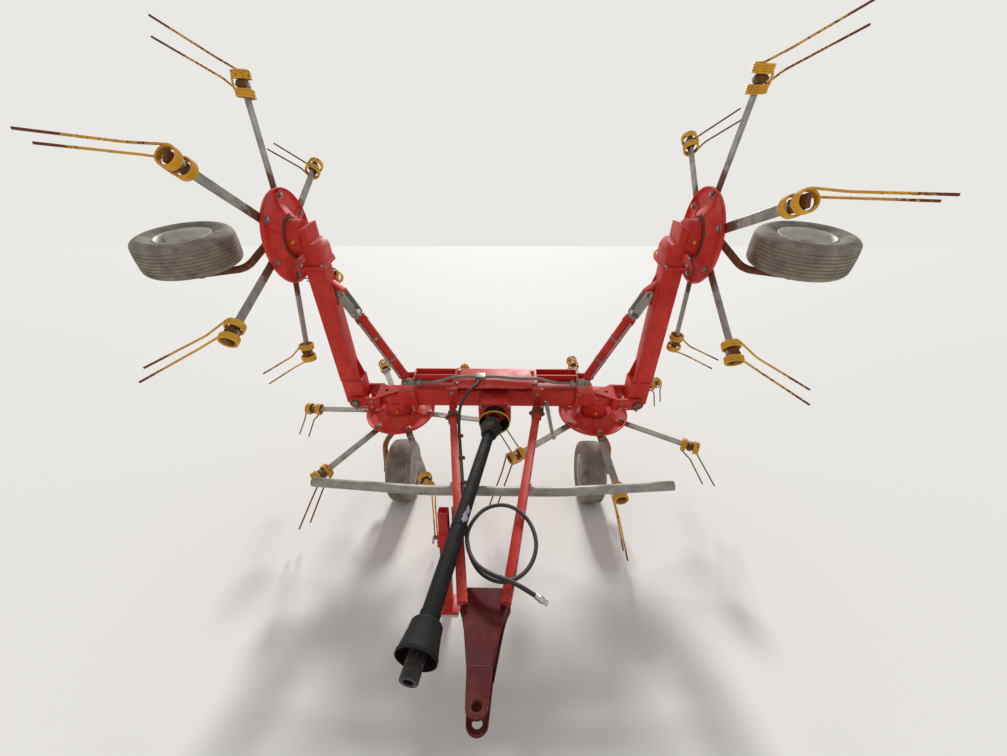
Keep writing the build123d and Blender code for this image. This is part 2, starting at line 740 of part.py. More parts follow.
def headstock():
    """The top tray, the lugs in front that carry the rails, and the posts under the channel."""
    level = CROSS_LOW + CROSS_HEIGHT
    beam_top = BEAM_LEVEL + BEAM_HEIGHT / 2
    with BuildPart() as head:
        with BuildSketch(shifted(carrier, 0, (TRAY_FRONT + TRAY_REAR) / 2, level)):
            Rectangle(TRAY_WIDTH, TRAY_REAR - TRAY_FRONT)
        extrude(amount=TRAY_THICK)
        for side in (-1, 1):
            x = side * RAIL_REAR[0]
            with BuildSketch(upright(carrier, TRAY_FRONT)):
                Polygon(
                    (x - 34, level + TRAY_THICK), (x + 34, level + TRAY_THICK),
                    (x + 20, LUG_BOTTOM), (x - 20, LUG_BOTTOM),
                    align=None,
                )
            extrude(amount=16)
            with BuildSketch(sideways(carrier, x - 6)):
                Polygon(
                    (TRAY_FRONT, level), (CROSS_AFT - CROSS_DEPTH / 2, level),
                    (CROSS_AFT - CROSS_DEPTH / 2, CROSS_LOW), (TRAY_REAR, CROSS_LOW),
                    (TRAY_REAR, beam_top), (-BEAM_DEPTH / 2, beam_top),
                    (-BEAM_DEPTH / 2, LUG_BOTTOM), (TRAY_FRONT, LUG_BOTTOM),
                    align=None,
                )
            extrude(amount=12)
    keep("headstock", head)


def centre_gearbox():
    """The bevel box in front of the beam, with its input boss and the drive joint's cross pin."""
    front = JOINT_AFT + 25
    with BuildPart() as box:
        with BuildSketch(upright(carrier, -BEAM_DEPTH / 2)):
            with Locations((0, JOINT_LEVEL)):
                RectangleRounded(190, 150, 24)
        extrude(amount=-BEAM_DEPTH / 2 - front)
        with BuildSketch(upright(carrier, front)):
            with Locations((0, JOINT_LEVEL)):
                Circle(BELL_ROOT_RADIUS - BELL_WALL)
                Circle(BELL_ROOT_RADIUS - BELL_WALL - 20, mode=Mode.SUBTRACT)
        extrude(amount=12)
        pin = Vector(JOINT_PIN_HALF, 0, 0)
        bar(carrier.from_local_coords((0, front, JOINT_LEVEL)), joint_point, JOINT_STUB_RADIUS)
        bar(joint_point - pin, joint_point + pin, JOINT_PIN_RADIUS)
    keep("centre_gearbox", box)


def input_bell():
    """The open bell round the drive shaft's rear joint."""
    joint = shifted(carrier, 0, 0, JOINT_LEVEL)
    start = JOINT_AFT + 25
    end = start - BELL_LENGTH
    root = BELL_ROOT_RADIUS
    with BuildPart() as bell:
        with BuildSketch(sideways(joint)):
            Polygon(
                (start, root - BELL_WALL), (start, root), (start - 20, root),
                (end, BELL_RADIUS), (end, BELL_RADIUS - BELL_WALL), (start - 20, root - BELL_WALL),
                align=None,
            )
        revolve(axis=Axis(joint.origin, joint.y_dir))
    keep("input_bell", bell)


# Drawbar

def rail_seat(side, y):
    """The frame on a rail's middle line at y: x across the rail, y to the rear, z up."""
    rear = Vector(side * RAIL_REAR[0], RAIL_REAR[1], RAIL_REAR[2])
    front = Vector(side * RAIL_FRONT[0], RAIL_FRONT[1], RAIL_FRONT[2])
    along = rear - front
    middle = rear - along * ((RAIL_REAR[1] - y) / (RAIL_REAR[1] - RAIL_FRONT[1]))
    across = along.cross(Vector(0, 0, 1))
    return Plane(machine.from_local_coords(middle), x_dir=across, z_dir=across.cross(along))


def rail(name, side):
    """A box-section drawbar rail from the headstock's lug down onto the tongue plate."""
    lug_face = Plane(carrier.from_local_coords((0, TRAY_FRONT - 16, 0)), z_dir=-carrier.y_dir)
    plate_top = machine.offset(TONGUE_LEVEL + TONGUE_THICK)
    with BuildPart() as beam:
        with BuildSketch(upright(rail_seat(side, RAIL_REAR[1] + 120))):
            Rectangle(RAIL_WIDTH, RAIL_HEIGHT)
        extrude(amount=(RAIL_REAR[1] - RAIL_FRONT[1]) * 1.25)
        split(bisect_by=lug_face, keep=Keep.TOP)
        split(bisect_by=plate_top, keep=Keep.TOP)
    keep(name, beam)


def rail_clevises():
    """The straps that clamp the rails' rear ends, each with a crosswise bolt through it."""
    bolt_reach = RAIL_WIDTH / 2 + CLEVIS_THICK
    with BuildPart() as straps:
        for side, hand in ((-1, "left"), (1, "right")):
            seat = rail_seat(side, RAIL_REAR[1] - CLEVIS_AHEAD[hand])
            for face in (-1, 1):
                with Locations(shifted(seat, face * (RAIL_WIDTH + CLEVIS_THICK) / 2, 0, 0)):
                    Box(CLEVIS_THICK, CLEVIS_LENGTH, CLEVIS_HEIGHT)
                with BuildSketch(sideways(seat, face * bolt_reach)):
                    RegularPolygon(CLEVIS_BOLT_FLATS / 2, 6, major_radius=False)
                extrude(amount=face * CLEVIS_BOLT_HEIGHT)
            with Locations(shifted(seat, 0, 0, (RAIL_HEIGHT + CLEVIS_THICK) / 2)):
                Box(RAIL_WIDTH + 2 * CLEVIS_THICK, CLEVIS_LENGTH / 2, CLEVIS_THICK)
    keep("rail_clevises", straps)


def tongue():
    """Two tapered hitch plates, one under the other, joined by a web at the rear."""
    rear_half = TONGUE_REAR_WIDTH / 2
    tip_half = TONGUE_TIP_WIDTH / 2
    with BuildPart() as plates:
        for level in (TONGUE_LEVEL, TONGUE_LEVEL - TONGUE_GAP - TONGUE_THICK):
            with BuildSketch(machine.offset(level)):
                Polygon(
                    (-rear_half, TONGUE_REAR), (-rear_half, TONGUE_REAR - 60),
                    (-tip_half, TONGUE_TIP + 30), (-tip_half + 14, TONGUE_TIP),
                    (tip_half - 14, TONGUE_TIP), (tip_half, TONGUE_TIP + 30),
                    (rear_half, TONGUE_REAR - 60), (rear_half, TONGUE_REAR),
                    align=None,
                )
                with Locations((0, HITCH_HOLE_Y)):
                    Circle(HITCH_HOLE_RADIUS, mode=Mode.SUBTRACT)
            extrude(amount=TONGUE_THICK)
        with BuildSketch(machine.offset(TONGUE_LEVEL - TONGUE_GAP)):
            with Locations((0, (TONGUE_REAR + HITCH_HOLE_Y) / 2 + 60)):
                Rectangle(TONGUE_TIP_WIDTH, WEB_LENGTH)
        extrude(amount=TONGUE_GAP)
    keep("tongue", plates)


def front_guard():
    """A bent tube under the rails, ahead of the inner tines."""
    middle = rail_seat(1, GUARD_Y).origin.Z - hub_height
    level = middle - RAIL_HEIGHT / 2 - GUARD_RADIUS - 8
    points = (
        (-GUARD_HALF, GUARD_END_Y, level),
        (-GUARD_STRAIGHT, GUARD_Y, level),
        (GUARD_STRAIGHT, GUARD_Y, level),
        (GUARD_HALF, GUARD_END_Y, level),
    )
    with BuildPart() as tube:
        bent_bar([machine.from_local_coords(point) for point in points], GUARD_RADIUS)
        for side in (-1, 1):
            with BuildSketch(rail_seat(side, GUARD_Y).offset(-RAIL_HEIGHT / 2)):
                Rectangle(56, 64)
            extrude(amount=-16)
    keep("front_guard", tube)


# Parking stand

def stand_bracket():
    """A square sleeve on a plate against the left rail."""
    rail_middle = rail_seat(-1, STAND_Y)
    rail_z = rail_middle.origin.Z - hub_height
    bore = STAND_SIDE + 2 * SHAFT_CLEARANCE
    sleeve_edge = STAND_X + STAND_SLEEVE / 2
    plate_x = rail_middle.origin.X - RAIL_WIDTH / 2 - 4
    with BuildPart() as bracket:
        with BuildSketch(shifted(machine, STAND_X, STAND_Y, rail_z - 45)):
            Rectangle(STAND_SLEEVE, STAND_SLEEVE)
            Rectangle(bore, bore, mode=Mode.SUBTRACT)
        extrude(amount=70)
        with BuildSketch(sideways(rail_middle, -RAIL_WIDTH / 2)):
            Rectangle(90, RAIL_HEIGHT - 6)
        extrude(amount=-8)
        with BuildSketch(shifted(machine, (sleeve_edge + plate_x) / 2, STAND_Y, rail_z - 16)):
            Rectangle(plate_x - sleeve_edge, 44)
        extrude(amount=32)
    keep("stand_bracket", bracket)


def stand_leg():
    """The square leg in the sleeve, with its foot plate on the ground."""
    foot = shifted(machine, STAND_X, STAND_Y, -hub_height)
    with BuildPart() as leg:
        with BuildSketch(foot):
            Rectangle(FOOT_SIDE, FOOT_SIDE)
        extrude(amount=FOOT_THICK)
        with BuildSketch(foot.offset(FOOT_THICK)):
            Rectangle(STAND_SIDE, STAND_SIDE)
            Rectangle(STAND_SIDE - 2 * STAND_WALL, STAND_SIDE - 2 * STAND_WALL, mode=Mode.SUBTRACT)
        extrude(amount=hub_height + STAND_TOP - FOOT_THICK)
    keep("stand_leg", leg)


# Drive shaft

def shaft_rear():
    """The rear half: a fork on the joint's cross pin, a ribbed boot and the thin guard tube."""
    outside = SHAFT_TUBE_RADIUS - SHAFT_TUBE_WALL - SHAFT_INNER_GAP
    inside = outside - SHAFT_TUBE_WALL
    with BuildPart() as half:
        with BuildSketch(upright(shaft)):
            Polygon(
                (0, 30), (30, 30), (30, 34), (38, 40), (38, 56), (46, 64), (43, 70), (46, 76), (43, 82),
                (46, 88), (42, 112), (outside, REAR_TUBE_START), (outside, REAR_TUBE_END),
                (inside, REAR_TUBE_END), (inside, REAR_TUBE_START), (0, REAR_TUBE_START),
                align=None,
            )
        revolve(axis=Axis(shaft.origin, shaft.z_dir))
        for face in (-1, 1):
            ear = joint_point + Vector(face * JOINT_EAR_AT, 0, 0)
            with BuildSketch(Plane(ear, x_dir=(0, shaft_run.Y, shaft_run.Z), z_dir=(1, 0, 0))):
                with Locations((JOINT_FORK_LENGTH / 2, 0)):
                    SlotCenterToCenter(JOINT_FORK_LENGTH, 2 * JOINT_EAR_RADIUS)
                Circle(JOINT_PIN_RADIUS + SHAFT_CLEARANCE, mode=Mode.SUBTRACT)
            extrude(amount=JOINT_EAR_THICK / 2, both=True)
    keep("shaft_rear", half)


def shaft_front():
    """The front half: the outer guard tube, the cone and the splined yoke."""
    tube = SHAFT_TUBE_RADIUS
    bore = tube - SHAFT_TUBE_WALL
    cone_end = FRONT_TUBE_END + CONE_LENGTH
    with BuildPart() as half:
        with BuildSketch(upright(shaft)):
            Polygon(
                (bore, FRONT_TUBE_START), (tube, FRONT_TUBE_START), (tube, FRONT_TUBE_END),
                (46, FRONT_TUBE_END + 14), (46, FRONT_TUBE_END + 60), (CONE_RADIUS, cone_end),
                (CONE_RADIUS - 4, cone_end), (42, FRONT_TUBE_END + 62), (30, FRONT_TUBE_END + 62),
                (30, shaft_length), (0, shaft_length), (0, FRONT_TUBE_END), (bore, FRONT_TUBE_END),
                align=None,
            )
        revolve(axis=Axis(shaft.origin, shaft.z_dir))
        with BuildSketch(shaft.offset(shaft_length - SPLINE_LENGTH)):
            Circle(SPLINE_RADIUS)
        extrude(amount=SPLINE_LENGTH + 5, mode=Mode.SUBTRACT)
    keep("shaft_front", half)


# Hoses

def hose(name, points):
    """A hose along points of the machine, as straight runs joined by arcs as large as they allow."""
    spots = [Vector(point) for point in points]
    runs = [after - before for before, after in zip(spots, spots[1:])]
    radii = []
    for before, after in zip(runs, runs[1:]):
        half_turn = radians(before.get_angle(after)) / 2
        radii.append(0.45 * min(before.length, after.length) / tan(half_turn))
    with BuildPart() as tube:
        with BuildLine():
            route = FilletPolyline(*spots, radius=radii)
        with BuildSketch(Plane(origin=spots[0], z_dir=runs[0])):
            Circle(HOSE_RADIUS)
        sweep(path=route)
    section = pi * HOSE_RADIUS ** 2
    print(name, "radii", [round(radius) for radius in radii], "length", round(route.length, 1),
          "volume over section times length", round(tube.part.volume / section / route.length, 4))
    keep(name, tube)


def hose_coupler():
    """The quick coupler on the loose hose's end."""
    before, end = [Vector(point) for point in HOSE_ROUTES["hose_loop"][-2:]]
    run = end - before
    seat = Plane(machine.from_local_coords(end), x_dir=Vector(0, 0, 1).cross(run), z_dir=run)
    with BuildPart() as coupler:
        with BuildSketch(upright(seat)):
            Polygon(
                (0, 0), (COUPLER_RADIUS - 2, 0), (COUPLER_RADIUS - 2, 16), (COUPLER_RADIUS, 18),
                (COUPLER_RADIUS, 32), (COUPLER_RADIUS - 3, 34), (COUPLER_RADIUS - 3, COUPLER_LENGTH - 2),
                (COUPLER_RADIUS - 5, COUPLER_LENGTH), (0, COUPLER_LENGTH),
                align=None,
            )
        revolve(axis=Axis(seat.origin, seat.z_dir))
    keep("hose_coupler", coupler)


def hose_block():
    """The block on the tray where the hoses meet, and the two fittings on the cross member."""
    level = CROSS_LOW + CROSS_HEIGHT + TRAY_THICK
    with BuildPart() as block:
        with BuildSketch(shifted(carrier, -89, -40, level)):
            Rectangle(62, 44)
        extrude(amount=26)
        width, depth, height = FITTING_SIZE
        aft = CROSS_AFT - (CROSS_DEPTH + depth) / 2
        for side in (-1, 1):
            fitting = shifted(carrier, side * (CROSS_LENGTH / 2 - FITTING_INSET), aft, CROSS_LOW + 3)
            with BuildSketch(fitting):
                Rectangle(width, depth)
            extrude(amount=height)
    keep("hose_block", block)


# Build

main_beam()
cross_member()
headstock()
centre_gearbox()
input_bell()
rail_clevises()
tongue()
front_guard()
stand_bracket()
stand_leg()
shaft_rear()
shaft_front()
hose_block()
hose_coupler()
for name, points in HOSE_ROUTES.items():
    hose(name, [machine.from_local_coords(point) for point in points])
for side, hand in ((-1, "left"), (1, "right")):
    rail(f"drawbar_rail_{hand}", side)
    hinge_block(f"hinge_block_{hand}", side)
    barrel(f"lift_barrel_{hand}", side)
    rod(f"lift_rod_{hand}", side)
    link(f"lift_link_{hand}", side)
    wing_beam(f"wing_beam_{hand}", wing_seat(side), side)
    hose(f"lift_hose_{hand}", [carrier.from_local_coords(point) for point in LIFT_HOSE_POINTS[side]])
    for place, levels, turn in (("inner", INNER_BOX_LEVELS, -side), ("wing", WING_BOX_LEVELS, side)):
        seat = rotor_seat(side, place)
        where = f"{place}_{hand}"
        gearbox(f"gearbox_{where}", seat, side, levels, place == "inner")
        wheel_leg(f"wheel_leg_{where}", seat, side if place == "inner" else -side)
        tyre(f"tyre_{where}", seat)
        rim(f"rim_{where}", seat)
        rotor_disc(f"disc_{where}", seat, ARM_ANGLES[where])
        rotor_arms(f"arms_{where}", seat, ARM_ANGLES[where])
        rotor_tines(f"tines_{where}", seat, ARM_ANGLES[where], turn)

print(len(pieces), "pieces, hub height", round(hub_height, 2), "shaft length", round(shaft_length, 1))
print("cylinder closed", round(closed_length, 1), round(closed_angle, 2), "open", round(open_length, 1), round(open_angle, 2))
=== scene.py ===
"""Looks of a trailed rotary hay tedder, its wings folded up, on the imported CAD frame.

Lengths are millimetres in the classes and metres in Blender. X runs to the right seen from
the hitch, Y to the rear and Z up. A side is -1 for the left and +1 for the right.
"""

import logging
from collections.abc import Sequence
from dataclasses import dataclass
from enum import Enum

import bmesh
import bpy
import numpy as np
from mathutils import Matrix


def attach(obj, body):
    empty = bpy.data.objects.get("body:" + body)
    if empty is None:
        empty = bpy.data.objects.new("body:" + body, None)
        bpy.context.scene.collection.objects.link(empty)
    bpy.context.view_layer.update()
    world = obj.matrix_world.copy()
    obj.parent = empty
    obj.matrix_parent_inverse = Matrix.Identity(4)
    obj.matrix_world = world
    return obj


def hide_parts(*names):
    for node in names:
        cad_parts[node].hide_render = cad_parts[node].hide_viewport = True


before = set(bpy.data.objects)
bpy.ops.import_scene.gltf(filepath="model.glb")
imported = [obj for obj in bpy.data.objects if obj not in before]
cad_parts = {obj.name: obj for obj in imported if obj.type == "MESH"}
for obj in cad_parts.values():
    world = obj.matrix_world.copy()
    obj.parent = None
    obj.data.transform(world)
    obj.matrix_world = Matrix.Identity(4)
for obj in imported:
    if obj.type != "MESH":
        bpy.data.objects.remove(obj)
log = logging.getLogger("tedder")

METRE = 0.001
SMOOTH_ANGLE = 32.0


# Colour and nodes

def linear(code: str) -> tuple[float, float, float, float]:
    """Turn an sRGB hex colour into the linear values that Blender's sockets take.

    Args:
        code: The colour as "#rrggbb".

    Returns:
        Linear red, green, blue and an alpha of one.
    """
    channels = np.array([int(code[place:place + 2], 16) for place in (1, 3, 5)]) / 255
    bent = np.where(channels <= 0.04045, channels / 12.92, ((channels + 0.055) / 1.055) ** 2.4)
    return (*bent.tolist(), 1.0)


def per_metre(size_mm: float) -> float:
    """Return the texture scale at which a pattern's cells are size_mm across."""
    return 1000.0 / size_mm


def add_node(tree: bpy.types.NodeTree, kind: str, inputs: dict | None = None, **settings) -> bpy.types.Node:
    """Add one node, set it and link it.

    Args:
        tree: The node tree that takes the node.
        kind: Blender's name for the kind of node.
        inputs: Socket name or number to a value, or to the output socket that feeds it.
        settings: The node's own properties.

    Returns:
        The new node.
    """
    node = tree.nodes.new(kind)
    for key, value in settings.items():
        setattr(node, key, value)
    for socket, value in (inputs or {}).items():
        named = [entry for entry in node.inputs if entry.name == socket and entry.enabled]
        target = named[0] if named else node.inputs[socket]
        if isinstance(value, bpy.types.NodeSocket):
            tree.links.new(value, target)
        else:
            target.default_value = value
    return node


def fresh_tree(label: str) -> tuple[bpy.types.Material, bpy.types.NodeTree]:
    """Start a material.

    Args:
        label: The material's name.

    Returns:
        The new material and its emptied node tree.
    """
    material = bpy.data.materials.new(label)
    material.use_nodes = True
    material.node_tree.nodes.clear()
    return material, material.node_tree


# Finishes

@dataclass(frozen=True)
class WornEnamel:
    """Sprayed machinery enamel on steel: sun-bleached in clouds, chipped to rust, dusty on top."""

    label: str
    paint: str
    bleached: str
    rust: str = "#6e3d26"
    dust: str = "#a8957c"
    cloud_mm: float = 210.0
    chip_mm: float = 16.0
    chips: float = 0.3
    dustiness: float = 0.35
    gloss: float = 0.4
    shine: float = 0.28
    mottle_mm: float = 34.0
    drift_mm: float = 75.0
    patch_mm: float = 130.0
    # Rust's grit and orange peel are finer than a millimetre; drawn this coarse, they still show.
    grit_mm: float = 5.0
    peel_mm: float = 4.0

    def material(self) -> bpy.types.Material:
        """Build the nodes: clouds of fading, dust by the surface's slope, chips with a rusty floor."""
        material, tree = fresh_tree(self.label)
        place = add_node(tree, "ShaderNodeTexCoord")
        at = place.outputs["Object"]
        clouds = add_node(
            tree, "ShaderNodeTexNoise",
            {"Vector": at, "Scale": per_metre(self.cloud_mm), "Detail": 5.0, "Roughness": 0.6},
        )
        fading = add_node(
            tree, "ShaderNodeMapRange",
            {"Value": clouds.outputs["Fac"], "From Min": 0.38, "From Max": 0.66},
        )
        body = add_node(
            tree, "ShaderNodeMix",
            {"Factor": fading.outputs["Result"], "A": linear(self.paint), "B": linear(self.bleached)},
            data_type="RGBA",
        )
        mottle = add_node(
            tree, "ShaderNodeTexNoise", {"Vector": at, "Scale": per_metre(self.mottle_mm), "Detail": 4.0},
        )
        shade = add_node(
            tree, "ShaderNodeMapRange",
            {
                "Value": mottle.outputs["Fac"], "From Min": 0.3, "From Max": 0.7, "To Min": 0.84,
                "To Max": 1.1,
            },
        )
        varied = add_node(
            tree, "ShaderNodeHueSaturation", {"Value": shade.outputs["Result"], "Color": body.outputs[2]},
        )

        slope = add_node(tree, "ShaderNodeSeparateXYZ", {"Vector": place.outputs["Normal"]})
        upward = add_node(
            tree, "ShaderNodeMapRange",
            {
                "Value": slope.outputs["Z"], "From Min": 0.15, "From Max": 0.95, "To Min": 0.12,
                "To Max": 1.0,
            },
        )
        drift = add_node(
            tree, "ShaderNodeTexNoise",
            {"Vector": at, "Scale": per_metre(self.drift_mm), "Detail": 6.0, "Roughness": 0.65},
        )
        settled = add_node(
            tree, "ShaderNodeMapRange",
            {"Value": drift.outputs["Fac"], "From Min": 0.42, "From Max": 0.68, "To Max": self.dustiness},
        )
        dust = add_node(
            tree, "ShaderNodeMath", {0: upward.outputs["Result"], 1: settled.outputs["Result"]},
            operation="MULTIPLY",
        )
        dusty = add_node(
            tree, "ShaderNodeMix",
            {"Factor": dust.outputs[0], "A": varied.outputs["Color"], "B": linear(self.dust)},
            data_type="RGBA",
        )

        chipping = add_node(
            tree, "ShaderNodeTexNoise",
            {"Vector": at, "Scale": per_metre(self.chip_mm), "Detail": 7.0, "Roughness": 0.7},
        )
        patches = add_node(
            tree, "ShaderNodeTexNoise", {"Vector": at, "Scale": per_metre(self.patch_mm), "Detail": 2.0},
        )
        worn = add_node(tree, "ShaderNodeAttribute", attribute_name="wear")
        likely = add_node(
            tree, "ShaderNodeMath", {0: patches.outputs["Fac"], 1: 0.45, 2: worn.outputs["Fac"]},
            operation="MULTIPLY_ADD",
        )
        meeting = add_node(
            tree, "ShaderNodeMath", {0: chipping.outputs["Fac"], 1: likely.outputs[0]}, operation="ADD",
        )
        edge = 0.98 - 0.2 * self.chips
        chipped = add_node(
            tree, "ShaderNodeMapRange",
            {"Value": meeting.outputs[0], "From Min": edge - 0.02, "From Max": edge + 0.03},
        )
        rusting = add_node(
            tree, "ShaderNodeTexNoise", {"Vector": at, "Scale": per_metre(self.grit_mm), "Detail": 4.0},
        )
        rust = add_node(
            tree, "ShaderNodeMix",
            {"Factor": rusting.outputs["Fac"], "A": linear("#3f2418"), "B": linear(self.rust)},
            data_type="RGBA",
        )
        colour = add_node(
            tree, "ShaderNodeMix",
            {"Factor": chipped.outputs["Result"], "A": dusty.outputs[2], "B": rust.outputs[2]},
            data_type="RGBA",
        )

        sheen = add_node(
            tree, "ShaderNodeMapRange",
            {
                "Value": clouds.outputs["Fac"], "From Min": 0.35, "From Max": 0.7, "To Min": self.gloss,
                "To Max": self.gloss + 0.2,
            },
        )
        dull = add_node(
            tree, "ShaderNodeMath", {0: dust.outputs[0], 1: 0.5, 2: sheen.outputs["Result"]},
            operation="MULTIPLY_ADD",
        )
        rough = add_node(
            tree, "ShaderNodeMath", {0: chipped.outputs["Result"], 1: 0.35, 2: dull.outputs[0]},
            operation="MULTIPLY_ADD", use_clamp=True,
        )
        peel = add_node(
            tree, "ShaderNodeTexNoise", {"Vector": at, "Scale": per_metre(self.peel_mm), "Detail": 2.0},
        )
        sunk = add_node(
            tree, "ShaderNodeMath", {0: chipped.outputs["Result"], 1: -1.2, 2: peel.outputs["Fac"]},
            operation="MULTIPLY_ADD",
        )
        bump = add_node(
            tree, "ShaderNodeBump", {"Height": sunk.outputs[0], "Strength": 0.25, "Distance": 0.001},
        )
        shader = add_node(
            tree, "ShaderNodeBsdfPrincipled",
            {
                "Base Color": colour.outputs[2], "Roughness": rough.outputs[0],
                "Specular IOR Level": self.shine, "Normal": bump.outputs["Normal"],
            },
        )
        add_node(tree, "ShaderNodeOutputMaterial", {"Surface": shader.outputs["BSDF"]})
        return material


@dataclass(frozen=True)
class BareSteel:
    """Rolled or drawn steel gone dull, with rust that gathers where the wear attribute says."""

    label: str
    pale: str
    deep: str
    rust: str = "#7a4a2e"
    metallic: float = 0.55
    roughness: float = 0.5
    rusting: float = 0.25
    # A mill's grain is about a millimetre and its pits are finer; both are coarser here, to show.
    grain_mm: float = 9.0
    pit_mm: float = 4.0
    mottle_mm: float = 48.0
    bloom_mm: float = 22.0

    def material(self) -> bpy.types.Material:
        """Build the nodes: mottled grey, a fine mill grain, and blooms of rust."""
        material, tree = fresh_tree(self.label)
        place = add_node(tree, "ShaderNodeTexCoord")
        at = place.outputs["Object"]
        mottle = add_node(
            tree, "ShaderNodeTexNoise",
            {"Vector": at, "Scale": per_metre(self.mottle_mm), "Detail": 6.0, "Roughness": 0.62},
        )
        spread = add_node(
            tree, "ShaderNodeMapRange",
            {"Value": mottle.outputs["Fac"], "From Min": 0.33, "From Max": 0.67},
        )
        grey = add_node(
            tree, "ShaderNodeMix",
            {"Factor": spread.outputs["Result"], "A": linear(self.deep), "B": linear(self.pale)},
            data_type="RGBA",
        )
        bloom = add_node(
            tree, "ShaderNodeTexNoise",
            {"Vector": at, "Scale": per_metre(self.bloom_mm), "Detail": 7.0, "Roughness": 0.7},
        )
        worn = add_node(tree, "ShaderNodeAttribute", attribute_name="wear")
        meeting = add_node(
            tree, "ShaderNodeMath", {0: worn.outputs["Fac"], 1: 0.55, 2: bloom.outputs["Fac"]},
            operation="MULTIPLY_ADD",
        )
        edge = 0.76 - 0.25 * self.rusting
        rusty = add_node(
            tree, "ShaderNodeMapRange",
            {"Value": meeting.outputs[0], "From Min": edge - 0.06, "From Max": edge + 0.08},
        )
        speckle = add_node(
            tree, "ShaderNodeTexNoise", {"Vector": at, "Scale": per_metre(self.pit_mm), "Detail": 4.0},
        )
        rust = add_node(
            tree, "ShaderNodeMix",
            {"Factor": speckle.outputs["Fac"], "A": linear("#432719"), "B": linear(self.rust)},
            data_type="RGBA",
        )
        colour = add_node(
            tree, "ShaderNodeMix",
            {"Factor": rusty.outputs["Result"], "A": grey.outputs[2], "B": rust.outputs[2]},
            data_type="RGBA",
        )
        metal = add_node(
            tree, "ShaderNodeMapRange",
            {"Value": rusty.outputs["Result"], "To Min": self.metallic, "To Max": 0.05},
        )
        grain = add_node(
            tree, "ShaderNodeTexNoise", {"Vector": at, "Scale": per_metre(self.grain_mm), "Detail": 5.0},
        )
        base = add_node(
            tree, "ShaderNodeMapRange",
            {
                "Value": grain.outputs["Fac"], "From Min": 0.3, "From Max": 0.7,
                "To Min": self.roughness - 0.08, "To Max": self.roughness + 0.1,
            },
        )
        rough = add_node(
            tree, "ShaderNodeMath", {0: rusty.outputs["Result"], 1: 0.32, 2: base.outputs["Result"]},
            operation="MULTIPLY_ADD", use_clamp=True,
        )
        pitted = add_node(
            tree, "ShaderNodeMath",
            {0: speckle.outputs["Fac"], 1: rusty.outputs["Result"], 2: grain.outputs["Fac"]},
            operation="MULTIPLY_ADD",
        )
        bump = add_node(
            tree, "ShaderNodeBump", {"Height": pitted.outputs[0], "Strength": 0.22, "Distance": 0.0008},
        )
        shader = add_node(
            tree, "ShaderNodeBsdfPrincipled",
            {
                "Base Color": colour.outputs[2], "Metallic": metal.outputs["Result"],
                "Roughness": rough.outputs[0], "Normal": bump.outputs["Normal"],
            },
        )
        add_node(tree, "ShaderNodeOutputMaterial", {"Surface": shader.outputs["BSDF"]})
        return material


@dataclass(frozen=True)
class DustyRubber:
    """Moulded rubber gone grey in the sun, with pale dust held in its rough skin."""

    label: str
    rubber: str = "#2b2a29"
    dust: str = "#7d7468"
    dustiness: float = 0.6
    roughness: float = 0.78
    # The skin's real grain is under a millimetre, and is drawn coarser so that it shows.
    skin_mm: float = 6.0
    cloud_mm: float = 60.0

    def material(self) -> bpy.types.Material:
        """Build the nodes: black rubber, dust in clouds and where the wear attribute says, a fine skin."""
        material, tree = fresh_tree(self.label)
        place = add_node(tree, "ShaderNodeTexCoord")
        at = place.outputs["Object"]
        clouds = add_node(
            tree, "ShaderNodeTexNoise",
            {"Vector": at, "Scale": per_metre(self.cloud_mm), "Detail": 7.0, "Roughness": 0.65},
        )
        worn = add_node(tree, "ShaderNodeAttribute", attribute_name="wear")
        held = add_node(
            tree, "ShaderNodeMath", {0: worn.outputs["Fac"], 1: 0.4, 2: clouds.outputs["Fac"]},
            operation="MULTIPLY_ADD",
        )
        dust = add_node(
            tree, "ShaderNodeMapRange",
            {"Value": held.outputs[0], "From Min": 0.35, "From Max": 0.85, "To Max": self.dustiness},
        )
        colour = add_node(
            tree, "ShaderNodeMix",
            {"Factor": dust.outputs["Result"], "A": linear(self.rubber), "B": linear(self.dust)},
            data_type="RGBA",
        )
        skin = add_node(
            tree, "ShaderNodeTexNoise",
            {"Vector": at, "Scale": per_metre(self.skin_mm), "Detail": 6.0, "Roughness": 0.7},
        )
        rough = add_node(
            tree, "ShaderNodeMapRange",
            {
                "Value": skin.outputs["Fac"], "From Min": 0.3, "From Max": 0.7,
                "To Min": self.roughness - 0.1, "To Max": self.roughness + 0.12,
            },
        )
        bump = add_node(
            tree, "ShaderNodeBump", {"Height": skin.outputs["Fac"], "Strength": 0.35, "Distance": 0.0012},
        )
        shader = add_node(
            tree, "ShaderNodeBsdfPrincipled",
            {
                "Base Color": colour.outputs[2], "Roughness": rough.outputs["Result"],
                "Normal": bump.outputs["Normal"],
            },
        )
        add_node(tree, "ShaderNodeOutputMaterial", {"Surface": shader.outputs["BSDF"]})
        return material


